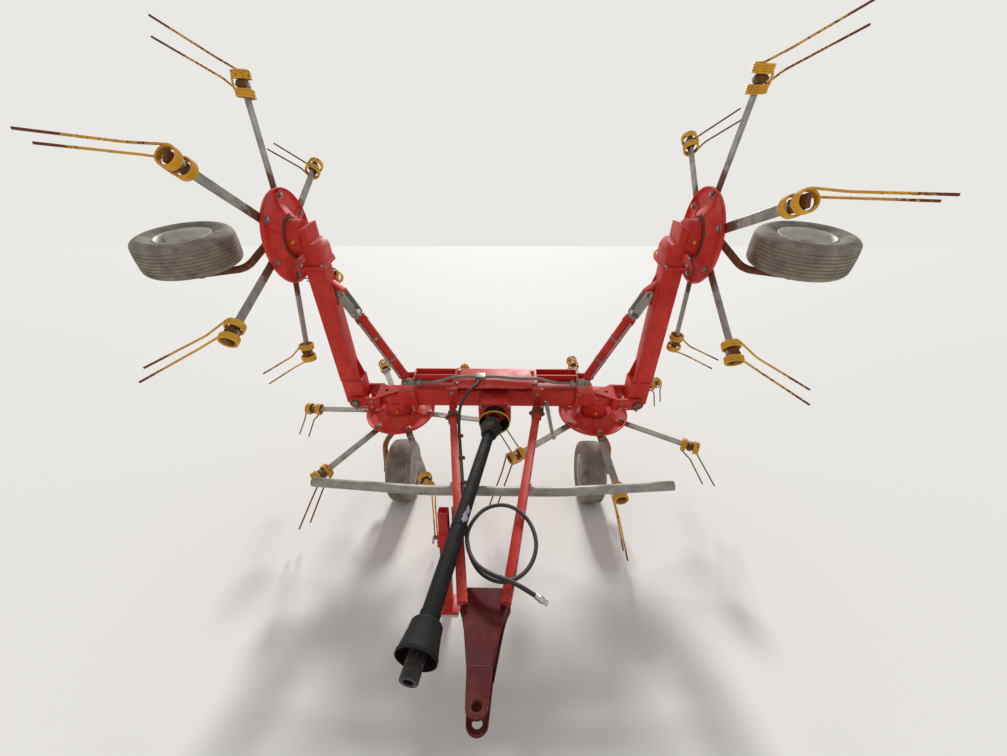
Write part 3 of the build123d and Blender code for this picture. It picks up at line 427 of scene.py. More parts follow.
@dataclass(frozen=True)
class MouldedPlastic:
    """Injection-moulded polyethylene of a guard: scuffed pale along its length, a satin skin."""

    label: str
    plastic: str
    scuff: str
    scuffing: float = 0.3
    roughness: float = 0.42
    # Scuffs are a millimetre or two wide and are drawn coarser; they run four to five times as long.
    scuff_mm: float = 9.0
    lengthwise: float = 0.22
    cloud_mm: float = 90.0

    def material(self) -> bpy.types.Material:
        """Build the nodes: one moulded colour, and scuffs in streaks that thin out in clouds."""
        material, tree = fresh_tree(self.label)
        place = add_node(tree, "ShaderNodeTexCoord")
        drawn = add_node(
            tree, "ShaderNodeMapping",
            {"Vector": place.outputs["Object"], "Scale": (1.0, self.lengthwise, 1.0)},
        )
        streaks = add_node(
            tree, "ShaderNodeTexNoise",
            {
                "Vector": drawn.outputs["Vector"], "Scale": per_metre(self.scuff_mm), "Detail": 6.0,
                "Roughness": 0.7,
            },
        )
        clouds = add_node(
            tree, "ShaderNodeTexNoise",
            {"Vector": place.outputs["Object"], "Scale": per_metre(self.cloud_mm), "Detail": 3.0},
        )
        meeting = add_node(
            tree, "ShaderNodeMath", {0: streaks.outputs["Fac"], 1: clouds.outputs["Fac"]},
            operation="MULTIPLY",
        )
        scuffed = add_node(
            tree, "ShaderNodeMapRange",
            {"Value": meeting.outputs[0], "From Min": 0.24, "From Max": 0.42, "To Max": self.scuffing},
        )
        colour = add_node(
            tree, "ShaderNodeMix",
            {"Factor": scuffed.outputs["Result"], "A": linear(self.plastic), "B": linear(self.scuff)},
            data_type="RGBA",
        )
        rough = add_node(
            tree, "ShaderNodeMapRange",
            {
                "Value": meeting.outputs[0], "From Min": 0.15, "From Max": 0.4, "To Min": self.roughness,
                "To Max": self.roughness + 0.25,
            },
        )
        bump = add_node(
            tree, "ShaderNodeBump",
            {"Height": streaks.outputs["Fac"], "Strength": 0.12, "Distance": 0.0006},
        )
        shader = add_node(
            tree, "ShaderNodeBsdfPrincipled",
            {
                "Base Color": colour.outputs[2], "Roughness": rough.outputs["Result"],
                "Specular IOR Level": 0.2, "Normal": bump.outputs["Normal"],
            },
        )
        add_node(tree, "ShaderNodeOutputMaterial", {"Surface": shader.outputs["BSDF"]})
        return material


class Finish(Enum):
    """The finishes of this machine, each by its maker's name."""

    # Gloss enamel gone satin: red faded to orange-red in clouds, with few chips.
    RED = WornEnamel("red_machinery_enamel", "#c01c13", "#d2382b", dustiness=0.15)
    # The same coat rubbed thin on edges, where it chips to rust; its pinker colour along the edges is a painted
    # highlight.
    RED_EDGE = WornEnamel(
        "red_enamel_worn_with_painted_highlight_at_edges", "#cb382b", "#db6152", chips=1.2, gloss=0.5, dustiness=0.18,
    )
    # The dishes' thinner coat on pressed sheet, evenly bleached.
    RED_DISC = WornEnamel("red_enamel_on_pressed_dish", "#ca231b", "#da4236", chips=0.12, dustiness=0.2)
    # The hitch plates' red, darkened as painted shade, with next to no gloss.
    SHADE_PAINTED_RED = WornEnamel(
        "red_enamel_darkened_by_painted_shade", "#4a0b13", "#5c1519", chips=0.5, dustiness=0.08, gloss=0.6, shine=0.12,
    )
    # The same painted-shade red, lighter along its edges as a painted highlight, and chipping to rust there.
    SHADE_PAINTED_RED_EDGE = WornEnamel("shade_painted_red_worn_with_painted_highlight_at_edges", "#5e1c1d", "#743029", chips=1.2, gloss=0.55)
    # Warm greys of rolled, sheared and galvanised steel, dull, with small blooms of rust.
    GREY_ARM = BareSteel("rolled_flat_steel", "#a8a39a", "#7d7973", metallic=0.4, rusting=0.35)
    GREY_PLATE = BareSteel("sheared_steel_plate", "#a5a297", "#7b7a72", rusting=0.3)
    GREY_TUBE = BareSteel("galvanised_steel_tube", "#a5a29a", "#827f78", metallic=0.35, rusting=0.15)
    # Hard chrome: bright and sharply reflecting.
    CHROME = BareSteel("hard_chromed_rod", "#c9c9c6", "#a5a6a6", metallic=1.0, roughness=0.2, rusting=0.05)
    # Zinc plate gone dull and yellowish, browned in its corners.
    ZINC = BareSteel(
        "zinc_plated_fastener", "#b9b4a2", "#8d8776", metallic=0.8, roughness=0.42, rusting=0.45,
    )
    # A forging black with oil.
    DARK_IRON = BareSteel(
        "oiled_black_forging", "#35322f", "#201f1e", metallic=0.4, roughness=0.5, rusting=0.3,
    )
    # Castings and forged bars brown with dry rust, matt all over.
    RUSTY = BareSteel(
        "rusted_cast_iron", "#7d5136", "#5b3826",
        rust="#8a5531", metallic=0.1, roughness=0.78, rusting=1.2,
    )
    LEG = BareSteel(
        "rusty_forged_bar", "#9c6a49", "#6f4330",
        rust="#87502f", metallic=0.1, roughness=0.7, rusting=0.8,
    )
    TAN_LEG = BareSteel(
        "dusty_forged_bar", "#bd9068", "#9a6f4c",
        rust="#9c6a42", metallic=0.05, roughness=0.75, rusting=0.5,
    )
    # Tyre rubber greyed by sun and pale with dust, and hose covers that are blacker, or dustier.
    TYRE = DustyRubber("sun_greyed_tyre_rubber", "#403e3b", "#aca291", 0.8)
    HOSE = DustyRubber("braided_hose_cover", "#1c1c1d", "#6c655b", 0.3, 0.6, 3.0)
    PALE_HOSE = DustyRubber("dusty_hose_cover", "#6d6a62", "#b4ab99", 0.6, 0.7, 3.0)
    # Off-white wheel enamel, grey with road dust.
    RIM = WornEnamel("white_wheel_enamel", "#c9c7c1", "#d8d6d0", chips=0.1, dustiness=0.4, gloss=0.35)
    # Polyethylene of the guards: satin black, dust-grey on the cone, and the bell's dull yellow.
    GUARD = MouldedPlastic("black_guard_polyethylene", "#0d0d0e", "#403d38", 0.4, 0.62)
    DUSTY_GUARD = MouldedPlastic("dusty_guard_polyethylene", "#26251f", "#857d70", 0.85, 0.6)
    BELL = MouldedPlastic("yellow_bell_polyethylene", "#c9a12b", "#8f7a3a", 0.5, 0.5)
    # A torn foil: pale grey, scuffed through to the black below.
    FOIL = MouldedPlastic("torn_blank_foil", "#a9a6b0", "#5b5752", 0.55, 0.6)
    # Spring wire dipped in yellow enamel that has flaked to brown towards the tips.
    SPRING = WornEnamel(
        "yellow_spring_enamel", "#dc9c20", "#e8b53c",
        rust="#8b4f2a", chip_mm=11.0, chips=0.35, dustiness=0.3, gloss=0.42,
    )

    def material(self) -> bpy.types.Material:
        """Return this finish's material, made the first time it is asked for."""
        known = bpy.data.materials.get(self.value.label)
        return known or self.value.material()


# Frames of the machine

class Place(Enum):
    """Where along the machine's width a rotor is, as its nodes' names say it."""

    INNER = "inner"
    WING = "wing"


@dataclass(frozen=True)
class Seat:
    """A frame of the machine: an origin in millimetres, and its x, y and z directions as rows."""

    origin: np.ndarray
    axes: np.ndarray

    def place(self, points: Sequence) -> np.ndarray:
        """Return points of this frame in the machine's millimetres."""
        return self.origin + np.asarray(points, float) @ self.axes

    def shifted(self, x: float, y: float, z: float) -> "Seat":
        """Return the frame moved along its own directions."""
        return Seat(self.place((x, y, z)), self.axes)

    def turned(self, about_y: float = 0.0, about_z: float = 0.0) -> "Seat":
        """Return the frame turned about its own y, then about its own z.

        Args:
            about_y: First turn, in degrees.
            about_z: Second turn, in degrees.
        """
        b, c = np.radians((about_y, about_z))
        spin_y = np.array(((np.cos(b), 0, np.sin(b)), (0, 1, 0), (-np.sin(b), 0, np.cos(b))))
        spin_z = np.array(((np.cos(c), -np.sin(c), 0), (np.sin(c), np.cos(c), 0), (0, 0, 1)))
        return Seat(self.origin, (spin_y @ spin_z).T @ self.axes)

    def facing_x(self, way: int = 1) -> "Seat":
        """Return the frame with its x along this one's y, and its z along this one's x times way."""
        return Seat(self.origin, np.array((self.axes[1], way * self.axes[2], way * self.axes[0])))

    def facing_y(self, way: int = -1) -> "Seat":
        """Return the frame with its x along this one's x, and its z along this one's y times way."""
        return Seat(self.origin, np.array((self.axes[0], -way * self.axes[2], way * self.axes[1])))

    def outward(self, side: int) -> "Seat":
        """Return the frame with its x and y times side, so that its x leads away from the middle."""
        return Seat(self.origin, self.axes * np.array((side, side, 1))[:, None])


def towards(origin: Sequence, run: Sequence) -> Seat:
    """Return a frame whose x is level.

    Args:
        origin: The frame's origin.
        run: The direction of its z, of any length.

    Returns:
        The frame.
    """
    z = np.asarray(run, float) / np.linalg.norm(run)
    x = np.cross((0, 0, 1), z)
    x = x / np.linalg.norm(x) if np.linalg.norm(x) > 1e-6 else np.array((1.0, 0, 0))
    return Seat(np.asarray(origin, float), np.array((x, np.cross(z, x), z)))


@dataclass(frozen=True)
class Layout:
    """Where the machine's frames are, with the same named sizes as the CAD part."""

    tilt: float = 18.0
    rotor_spacing: float = 1250.0
    rotor_rear: float = 405.0
    tyre_radius: float = 203.0
    wheel_forward: float = 180.0
    wheel_drop: float = 332.0
    hinge_level: float = 167.0
    fold: float = 90.0
    joint_aft: float = -228.0
    joint_level: float = 202.0
    shaft_end: tuple[float, float, float] = (-200.0, -1615.0, -112.0)
    base_pin: tuple[float, float] = (550.0, 300.0)
    link_pin: tuple[float, float] = (710.0, 60.0)

    @property
    def hinge_x(self) -> float:
        """How far out the wing hinges are."""
        return self.rotor_spacing / 2 + 246.0

    @property
    def hub_height(self) -> float:
        """Height of the coil circles' middles over the ground."""
        lean = np.radians(self.tilt)
        return self.tyre_radius + self.wheel_forward * np.sin(lean) + self.wheel_drop * np.cos(lean)

    @property
    def machine(self) -> Seat:
        """The level frame at the middle between the inner rotors."""
        return Seat(np.array((0.0, self.rotor_rear, self.hub_height)), np.eye(3))

    @property
    def carrier(self) -> Seat:
        """The frame that leans forward with the carrier."""
        c, s = np.cos(np.radians(self.tilt)), np.sin(np.radians(self.tilt))
        return Seat(self.machine.origin, np.array(((1, 0, 0), (0, c, s), (0, -s, c))))

    @property
    def shaft(self) -> Seat:
        """The drive shaft's frame at its rear joint, z down the shaft."""
        joint = self.carrier.place((0, self.joint_aft, self.joint_level))
        return towards(joint, self.machine.place(self.shaft_end) - joint)

    @property
    def shaft_length(self) -> float:
        """Length from the rear joint to the splined end."""
        joint = self.carrier.place((0, self.joint_aft, self.joint_level))
        return float(np.linalg.norm(self.machine.place(self.shaft_end) - joint))

    def wing(self, side: int) -> Seat:
        """Return the wing's frame at its hinge: x outward times side, z up when it is lowered."""
        hinge = self.carrier.shifted(side * self.hinge_x, 0, self.hinge_level)
        return hinge.turned(about_y=-side * self.fold)

    def rotor(self, side: int, place: Place) -> Seat:
        """Return the frame at the middle of a rotor's coil circle, z up its axle.

        Args:
            side: The rotor's side.
            place: Whether it is an inner rotor or one on a wing.
        """
        if place is Place.INNER:
            return self.carrier.shifted(side * self.rotor_spacing / 2, 0, 0)
        reach = 1.5 * self.rotor_spacing - self.hinge_x
        return self.wing(side).shifted(side * reach, 0, -self.hinge_level)

    def cylinder_line(self) -> tuple[float, float]:
        """Measure from a cylinder's base pin to its link pin, with the wings folded.

        Returns:
            The length, and the angle over the carrier in degrees.
        """
        turn = np.radians(self.fold)
        along, high = self.link_pin
        x = self.hinge_x + along * np.cos(turn) - high * np.sin(turn) - self.base_pin[0]
        z = self.hinge_level + along * np.sin(turn) + high * np.cos(turn) - self.base_pin[1]
        return float(np.hypot(x, z)), float(np.degrees(np.arctan2(z, x)))

    def cylinder(self, side: int) -> Seat:
        """Return the frame at a cylinder's base pin, x along the cylinder times side."""
        base = self.carrier.shifted(side * self.base_pin[0], 0, self.base_pin[1])
        return base.turned(about_y=-side * self.cylinder_line()[1])


LAYOUT = Layout()
HANDS = {-1: "left", 1: "right"}


@dataclass(frozen=True)
class Station:
    """What the pieces round one rotor share: their side, their place and the rotor's frame."""

    side: int
    place: Place

    @property
    def where(self) -> str:
        """The station in the names of its nodes."""
        return f"{self.place.value}_{HANDS[self.side]}"

    @property
    def seat(self) -> Seat:
        """The rotor's frame, z up its axle."""
        return LAYOUT.rotor(self.side, self.place)


# Surfaces

def rounded(corners: Sequence, reach: float, steps: int = 7) -> np.ndarray:
    """Round a polyline's corners with parabolas that start and end reach before and after each.

    Args:
        corners: The polyline's points.
        reach: How far from a corner its rounding starts, at most 0.45 of a run.
        steps: Points in each rounding.

    Returns:
        The rounded line's points.
    """
    spots = np.asarray(corners, float)
    t = np.linspace(0, 1, steps)[:, None]
    line = [spots[:1]]
    for before, corner, after in zip(spots, spots[1:], spots[2:]):
        back, ahead = before - corner, after - corner
        start = corner + back * min(0.45, reach / np.linalg.norm(back))
        end = corner + ahead * min(0.45, reach / np.linalg.norm(ahead))
        line.append((1 - t) ** 2 * start + 2 * t * (1 - t) * corner + t ** 2 * end)
    line.append(spots[-1:])
    return np.concatenate(line)


def steady_direction(tangents: np.ndarray) -> np.ndarray:
    """Find the direction, of a coarse set, that a line runs along least.

    Args:
        tangents: The line's directions, each of length one.

    Returns:
        The direction whose largest cosine with the tangents is the smallest.
    """
    spread = np.array([(x, y, z) for x in (-1, 0, 1) for y in (-1, 0, 1) for z in (0, 1)], float)
    spread = spread[np.linalg.norm(spread, axis=1) > 0]
    spread /= np.linalg.norm(spread, axis=1)[:, None]
    return spread[np.argmin(np.abs(tangents @ spread.T).max(axis=0))]


def ring_points(radius: float, sides: int) -> np.ndarray:
    """Return the corners of a regular polygon round the origin."""
    turn = np.linspace(0, 2 * np.pi, sides, endpoint=False)
    return radius * np.column_stack((np.cos(turn), np.sin(turn)))


class Shell:
    """The points, faces and wear of one piece, gathered from several closed surfaces."""

    def __init__(self) -> None:
        """Start with nothing."""
        self.points: list[np.ndarray] = []
        self.wear: list[np.ndarray] = []
        self.faces: list[list[int]] = []
        self.count = 0

    def add(self, points: np.ndarray, faces: list, wear: np.ndarray | float = 0.0) -> None:
        """Take in one surface.

        Args:
            points: Its points in the machine's millimetres.
            faces: Its faces, numbered from its own first point.
            wear: One value, or one for each point.
        """
        self.points.append(np.asarray(points, float).reshape(-1, 3))
        size = len(self.points[-1])
        self.wear.append(np.broadcast_to(np.asarray(wear, float), (size,)).copy())
        self.faces.extend([[index + self.count for index in face] for face in faces])
        self.count += size

    def grid(self, points: np.ndarray, close_rows: bool = False, wear: np.ndarray | float = 0.0) -> None:
        """Add a surface from a grid whose columns run round it.

        Args:
            points: Rows by columns by 3, in millimetres.
            close_rows: Whether the last row joins the first. If not, both ends get a flat cap.
            wear: One value, or one for each point.
        """
        rows, columns = points.shape[:2]
        index = np.arange(rows * columns).reshape(rows, columns)
        after = np.roll(index, -1, axis=1)
        low, high = (index, np.roll(index, -1, axis=0)) if close_rows else (index[:-1], index[1:])
        low_after, high_after = (after, np.roll(after, -1, axis=0)) if close_rows else (after[:-1], after[1:])
        faces = np.stack((low, low_after, high_after, high), axis=-1).reshape(-1, 4).tolist()
        if not close_rows:
            faces.append(index[0][::-1].tolist())
            faces.append(index[-1].tolist())
        self.add(points, faces, np.asarray(wear, float).reshape(-1) if np.ndim(wear) else wear)

    def revolve(
        self, seat: Seat, profile: Sequence, segments: int = 48, closed: bool = False,
        wear: Sequence | float = 0.0,
    ) -> None:
        """Turn a profile of (radius, level) about the seat's z.

        Args:
            seat: The frame whose z is the axis.
            profile: Radius and level of each point; a closed one is a ring's section.
            segments: Steps round the axis.
            closed: Whether the profile's end joins its start.
            wear: One value, or one for each point of the profile.
        """
        radius, level = np.asarray(profile, float).T[:, :, None]
        turn = np.linspace(0, 2 * np.pi, segments, endpoint=False)
        local = np.stack((radius * np.cos(turn), radius * np.sin(turn), level + 0 * turn), axis=-1)
        spread = np.repeat(np.asarray(wear, float), segments) if np.ndim(wear) else wear
        self.grid(seat.place(local), closed, spread)

    def sweep(
        self, path: np.ndarray, section: np.ndarray, wear: np.ndarray | float = 0.0,
        across: np.ndarray | None = None, scale: np.ndarray | float = 1.0,
    ) -> None:
        """Carry a section along a path.

        Args:
            path: Points of the path in the machine's millimetres.
            section: Corners of the section, its first number across the path.
            wear: One value, or one for each point of the path.
            across: A direction that the section's second number follows, never along the path.
            scale: Size of the section at each point of the path.
        """
        tangents = np.gradient(path, axis=0)
        tangents /= np.linalg.norm(tangents, axis=1)[:, None]
        guide = steady_direction(tangents) if across is None else np.asarray(across, float)
        side = np.cross(tangents, guide)
        side /= np.linalg.norm(side, axis=1)[:, None]
        up = np.cross(side, tangents)
        size = np.broadcast_to(np.asarray(scale, float), (len(path),))[:, None, None]
        offsets = section[None, :, :1] * side[:, None] + section[None, :, 1:] * up[:, None]
        spread = np.repeat(np.asarray(wear, float), len(section)) if np.ndim(wear) else wear
        self.grid(path[:, None] + size * offsets, wear=spread)

    def prism(self, seat: Seat, outline: Sequence, start: float, end: float, wear: float = 0.0) -> None:
        """Extrude an outline straight up the seat's z.

        Args:
            seat: The frame whose x and y carry the outline.
            outline: The outline's corners.
            start: Level of one face.
            end: Level of the other face.
            wear: Value for all the points.
        """
        flat = np.asarray(outline, float)
        levels = np.array((start, end))[:, None, None]
        both = np.broadcast_to(flat, (2, *flat.shape)), np.broadcast_to(levels, (2, len(flat), 1))
        local = np.concatenate(both, axis=2)
        self.grid(seat.place(local), wear=wear)

    def block(self, seat: Seat, middle: Sequence, size: Sequence, wear: float = 0.0) -> None:
        """Add a block.

        Args:
            seat: The frame whose directions its edges follow.
            middle: Its middle in that frame.
            size: Its size along the three directions.
            wear: Value for all the points.
        """
        x, y, z = np.asarray(size, float) / 2
        corners = ((-x, -y), (x, -y), (x, y), (-x, y))
        self.prism(seat.shifted(*middle), corners, -z, z, wear)

    def drilled(
        self, seat: Seat, outline: Sequence, hole: tuple[float, float, float], start: float, end: float,
        wear: float = 0.0,
    ) -> None:
        """Extrude a convex outline with a round hole, as rays from the hole's middle to the edge.

        Args:
            seat: The frame whose x and y carry the outline.
            outline: The outline's corners, anticlockwise.
            hole: The hole's x, y and radius.
            start: Level of one face.
            end: Level of the other face.
            wear: Value for all the points.
        """
        middle = np.array(hole[:2])
        corners = np.asarray(outline, float) - middle
        evenly = np.linspace(-np.pi, np.pi, 36, endpoint=False)
        angles = np.concatenate((evenly, np.arctan2(corners[:, 1], corners[:, 0])))
        rays = np.array([(np.cos(turn), np.sin(turn)) for turn in np.unique(np.round(angles, 5))])
        edges = np.roll(corners, -1, axis=0) - corners
        normals = np.column_stack((edges[:, 1], -edges[:, 0]))
        facing = rays @ normals.T
        ahead = facing > 1e-9
        distance = (normals * corners).sum(axis=1)
        reach = np.where(ahead, distance / np.where(ahead, facing, 1.0), np.inf)
        edge = middle + rays * reach.min(axis=1)[:, None]
        bore = middle + rays * hole[2]
        rows = [
            np.column_stack((flat, np.full(len(flat), level)))
            for flat, level in ((edge, start), (edge, end), (bore, end), (bore, start))
        ]
        self.grid(seat.place(np.array(rows)), True, wear)

    def bolts(self, seats: Sequence[Seat], flats: float, height: float, washer: float = 1.9) -> None:
        """Add a hexagon head on a washer at each seat, standing up its z.

        Args:
            seats: Where the bolts are; z leaves the surface.
            flats: Size across the flats.
            height: Height of the head over its washer.
            washer: Washer's radius over half the size across flats.
        """
        corner = flats / 2 / np.cos(np.pi / 6)
        edge = flats / 2 * washer
        disc = ((edge, -1.0), (edge, 2.2), (edge - 0.8, 2.6))
        head = ((corner, 2.0), (corner, height + 1.2), (corner * 0.84, height + 2.4))
        for seat in seats:
            self.revolve(seat, disc, 20, wear=0.35)
            self.revolve(seat, head, 6, wear=0.2)

    def make(
        self, name: str, finish: Finish, body: str, replaces: Sequence[str] = (),
        bevel: float = 0.0, smooth: float = SMOOTH_ANGLE, edge: Finish | None = None,
    ) -> bpy.types.Object:
        """Turn what was gathered into a finished piece.

        Args:
            name: The piece's name.
            finish: Its finish.
            body: The CAD body that it rides on.
            replaces: CAD nodes that it stands for.
            bevel: Width of a bevel on its edges in millimetres, or 0 for none.
            smooth: Angle in degrees under which edges shade smooth.
            edge: A second finish for the bevel's own faces.

        Returns:
            The piece's object.
        """
        mesh = bpy.data.meshes.new(name)
        mesh.from_pydata((np.concatenate(self.points) * METRE).tolist(), [], self.faces)
        mesh.attributes.new("wear", "FLOAT", "POINT").data.foreach_set("value", np.concatenate(self.wear))
        shape = bmesh.new()
        shape.from_mesh(mesh)
        bmesh.ops.remove_doubles(shape, verts=shape.verts, dist=1e-6)
        bmesh.ops.recalc_face_normals(shape, faces=shape.faces)
        shape.to_mesh(mesh)
        shape.free()
        piece = bpy.data.objects.new(name, mesh)
        bpy.context.scene.collection.objects.link(piece)
        settle(piece, finish, body, replaces, bevel, smooth, edge)
        return piece


def settle(
    piece: bpy.types.Object, finish: Finish, body: str, replaces: Sequence[str] = (),
    bevel: float = 0.0, smooth: float = SMOOTH_ANGLE, edge: Finish | None = None,
) -> None:
    """Give a mesh piece its finish, shading, bevel, body and slot.

    Args:
        piece: The mesh object.
        finish: Its finish.
        body: The CAD body that it rides on.
        replaces: CAD nodes that it stands for.
        bevel: Width of a bevel in millimetres, or 0 for none.
        smooth: Angle in degrees under which edges shade smooth.
        edge: A second finish for the bevel's own faces.
    """
    mesh = piece.data
    mesh.materials.clear()
    mesh.materials.append(finish.material())
    mesh.shade_smooth()
    if bevel:
        # The edge finish goes on the bevel's own faces: wear, and for the red coats also a painted highlight.
        if edge is not None:
            mesh.materials.append(edge.material())
        rounding = piece.modifiers.new("worn_edges", "BEVEL")
        rounding.width = bevel * METRE
        rounding.segments = 2
        rounding.limit_method = "ANGLE"
        rounding.angle_limit = np.radians(SMOOTH_ANGLE)
        rounding.harden_normals = True
        rounding.miter_outer = "MITER_ARC"
        rounding.material = 1 if edge is not None else -1
    else:
        mesh.set_sharp_from_angle(angle=np.radians(smooth))
    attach(piece, body)
    if replaces:
        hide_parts(*replaces)
    log.info("%s rides on %s", piece.name, body)


def soften(
    node: str, finish: Finish, body: str, width: float, edge: Finish | None = None,
) -> bpy.types.Object:
    """Replace a CAD node with a copy of itself whose edges are rounded as real plate and casting are.

    Args:
        node: The CAD node.
        finish: Finish of its faces.
        body: The CAD body that it rides on.
        width: Width of the rounding in millimetres.
        edge: Finish of the rounded edges, where the paint wears first and the red edge finishes also paint a
            highlight.

    Returns:
        The new piece.
    """
    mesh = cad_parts[node].data.copy()
    mesh.name = f"{node}_finished"
    shape = bmesh.new()
    shape.from_mesh(mesh)
    bmesh.ops.remove_doubles(shape, verts=shape.verts, dist=2e-5)
    bmesh.ops.dissolve_limit(shape, angle_limit=np.radians(0.6), verts=shape.verts, edges=shape.edges)
    shape.to_mesh(mesh)
    shape.free()
    piece = bpy.data.objects.new(f"{node}_finished", mesh)
    bpy.context.scene.collection.objects.link(piece)
    settle(piece, finish, body, (node,), width, edge=edge)
    return piece


def dress(node: str, finish: Finish) -> None:
    """Give a CAD node that stays as it is its finish.

    Args:
        node: The CAD node.
        finish: Its finish.
    """
    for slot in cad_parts[node].material_slots:
        slot.material = finish.material()
    log.info("%s is dressed in %s", node, finish.value.label)


# Studio

@dataclass(frozen=True)
class Studio:
    """The camera where the photograph was taken, a pale floor and soft light."""

    spot: tuple[float, float, float] = (0.092, -2.013, 1.682)
    focal_px: float = 401.26
    picture_px: float = 1007.0
    down: float = 19.23
    left: float = 1.08
    pale: str = "#e9e8e5"
    ground: str = "#dddbd7"
    ground_reach: float = 90.0
    sky_light: float = 0.52
    key_light: float = 3.3
    key_softness: float = 9.0
    key_run: tuple[float, float, float] = (0.80, 0.30, -0.54)

    def build(self) -> None:
        """Make the camera, the floor, the sky and the lamp."""
        scene = bpy.context.scene
        lens = bpy.data.cameras.new("photograph_view")
        lens.sensor_fit = "HORIZONTAL"
        lens.sensor_width = 36.0
        lens.lens = 36.0 * self.focal_px / self.picture_px
        lens.clip_end = 200.0
        camera = bpy.data.objects.new("photograph_view", lens)
        camera.location = self.spot
        camera.rotation_euler = np.radians((90 - self.down, 0, self.left))
        scene.collection.objects.link(camera)
        scene.camera = camera
        scene.view_settings.view_transform = "Standard"
        self.floor()
        self.sky()
        self.key()

    def key(self) -> None:
        """Hang the soft low sun over the left shoulder, its light along key_run."""
        sun = bpy.data.lights.new("soft_key", "SUN")
        sun.energy = self.key_light
        sun.angle = np.radians(self.key_softness)
        key = bpy.data.objects.new("soft_key", sun)
        aim = towards((0, 0, 0), -np.array(self.key_run))
        key.matrix_world = [[*row, 0.0] for row in aim.axes.T] + [[0.0, 0.0, 0.0, 1.0]]
        key.location = (-3.0, -2.5, 5.0)
        bpy.context.scene.collection.objects.link(key)

    def floor(self) -> None:
        """Lay the pale floor under the wheels, far enough to reach the horizon."""
        mesh = bpy.data.meshes.new("studio_floor")
        reach = self.ground_reach
        corners = [(-reach, -reach, 0), (reach, -reach, 0), (reach, reach, 0), (-reach, reach, 0)]
        mesh.from_pydata(corners, [], [(0, 1, 2, 3)])
        floor = bpy.data.objects.new("studio_floor", mesh)
        bpy.context.scene.collection.objects.link(floor)
        material, tree = fresh_tree("matt_studio_floor")
        shader = add_node(
            tree, "ShaderNodeBsdfPrincipled", {"Base Color": linear(self.ground), "Roughness": 0.9},
        )
        add_node(tree, "ShaderNodeOutputMaterial", {"Surface": shader.outputs["BSDF"]})
        mesh.materials.append(material)

    def sky(self) -> None:
        """Set an even sky: dim as a light, and pale where it is seen, also in gloss and through glass."""
        world = bpy.data.worlds.new("studio_sky")
        bpy.context.scene.world = world
        world.use_nodes = True
        tree = world.node_tree
        tree.nodes.clear()
        path = add_node(tree, "ShaderNodeLightPath")
        light = add_node(
            tree, "ShaderNodeBackground", {"Color": linear("#ffffff"), "Strength": self.sky_light},
        )
        view = add_node(tree, "ShaderNodeBackground", {"Color": linear(self.pale), "Strength": 1.0})
        mirrored = add_node(
            tree, "ShaderNodeMath", {
                0: path.outputs["Is Glossy Ray"], 1: path.outputs["Is Transmission Ray"],
            },
            operation="ADD",
        )
        seen = add_node(
            tree, "ShaderNodeMath", {0: path.outputs["Is Camera Ray"], 1: mirrored.outputs[0]},
            operation="ADD", use_clamp=True,
        )
        mix = add_node(
            tree, "ShaderNodeMixShader", {0: seen.outputs[0], 1: light.outputs[0], 2: view.outputs[0]},
        )
        add_node(tree, "ShaderNodeOutputWorld", {"Surface": mix.outputs[0]})


# Hoses

@dataclass(frozen=True)
class LooseHose:
    """The free end of the lift hose, from its clamp on the left rail to its quick coupler."""

    radius: float = 8.5
    length: float = 1514.8
    route: tuple[tuple[float, float, float], ...] = (
        (-109, -930, -54), (-92.8, -1030.44, -82.62), (-66, -1140, -101), (-12, -1225, -108),
        (80, -1262, -108), (168, -1207, -98), (208, -1105, -66), (178, -992, -32),
        (90, -915, -10), (-15, -926, -18), (-78, -1005, -46), (-88, -1095, -62),
        (-50, -1180, -86), (20, -1240, -84), (110, -1275, -82), (185, -1310, -108),
    )

    def build(self) -> None:
        """Make the hose as one smooth spline, and its coupler."""
        spots = LAYOUT.machine.place(self.route)
        curve = bpy.data.curves.new("loose_hose", "CURVE")
        curve.dimensions = "3D"
        curve.resolution_u = 16
        curve.bevel_depth = self.radius * METRE
        curve.bevel_resolution = 5
        curve.use_fill_caps = True
        spline = curve.splines.new("NURBS")
        spline.points.add(len(spots) - 1)
        spline.points.foreach_set("co", np.column_stack((spots * METRE, np.ones(len(spots)))).ravel())
        spline.order_u = 3
        spline.use_endpoint_u = True
        hose = bpy.data.objects.new("loose_hose", curve)
        bpy.context.scene.collection.objects.link(hose)
        curve.materials.append(Finish.HOSE.material())
        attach(hose, "chassis")
        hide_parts("hose_loop")
        log.info("%s rides on %s", hose.name, "chassis")
        coupler = self.coupler(spots)

    def coupler(self, spots: np.ndarray) -> bpy.types.Object:
        """Turn the quick coupler: a crimped ferrule, a plain sleeve and the plug's nose.

        Args:
            spots: The hose's route; the coupler goes on along its last run.

        Returns:
            The coupler's piece.
        """
        seat = towards(spots[-1], spots[-1] - spots[-2])
        shell = Shell()
        crimps = [(10.6 + 0.5 * (step % 2), 1.0 + step * 1.6) for step in range(10)]
        sleeve = ((12.9, 18.5), (12.9, 31.5), (10.0, 33.0), (10.0, 37.0))
        nose = ((8.4, 38.0), (8.4, 41.0), (9.8, 42.0), (9.8, 50.0), (8.0, 52.0), (4.5, 52.0))
        profile = ((5.0, 0.0), *crimps, *sleeve, *nose)
        shell.revolve(seat, profile, 28, wear=0.1)
        return shell.make("hose_quick_coupler", Finish.CHROME, "chassis", ("hose_coupler",))


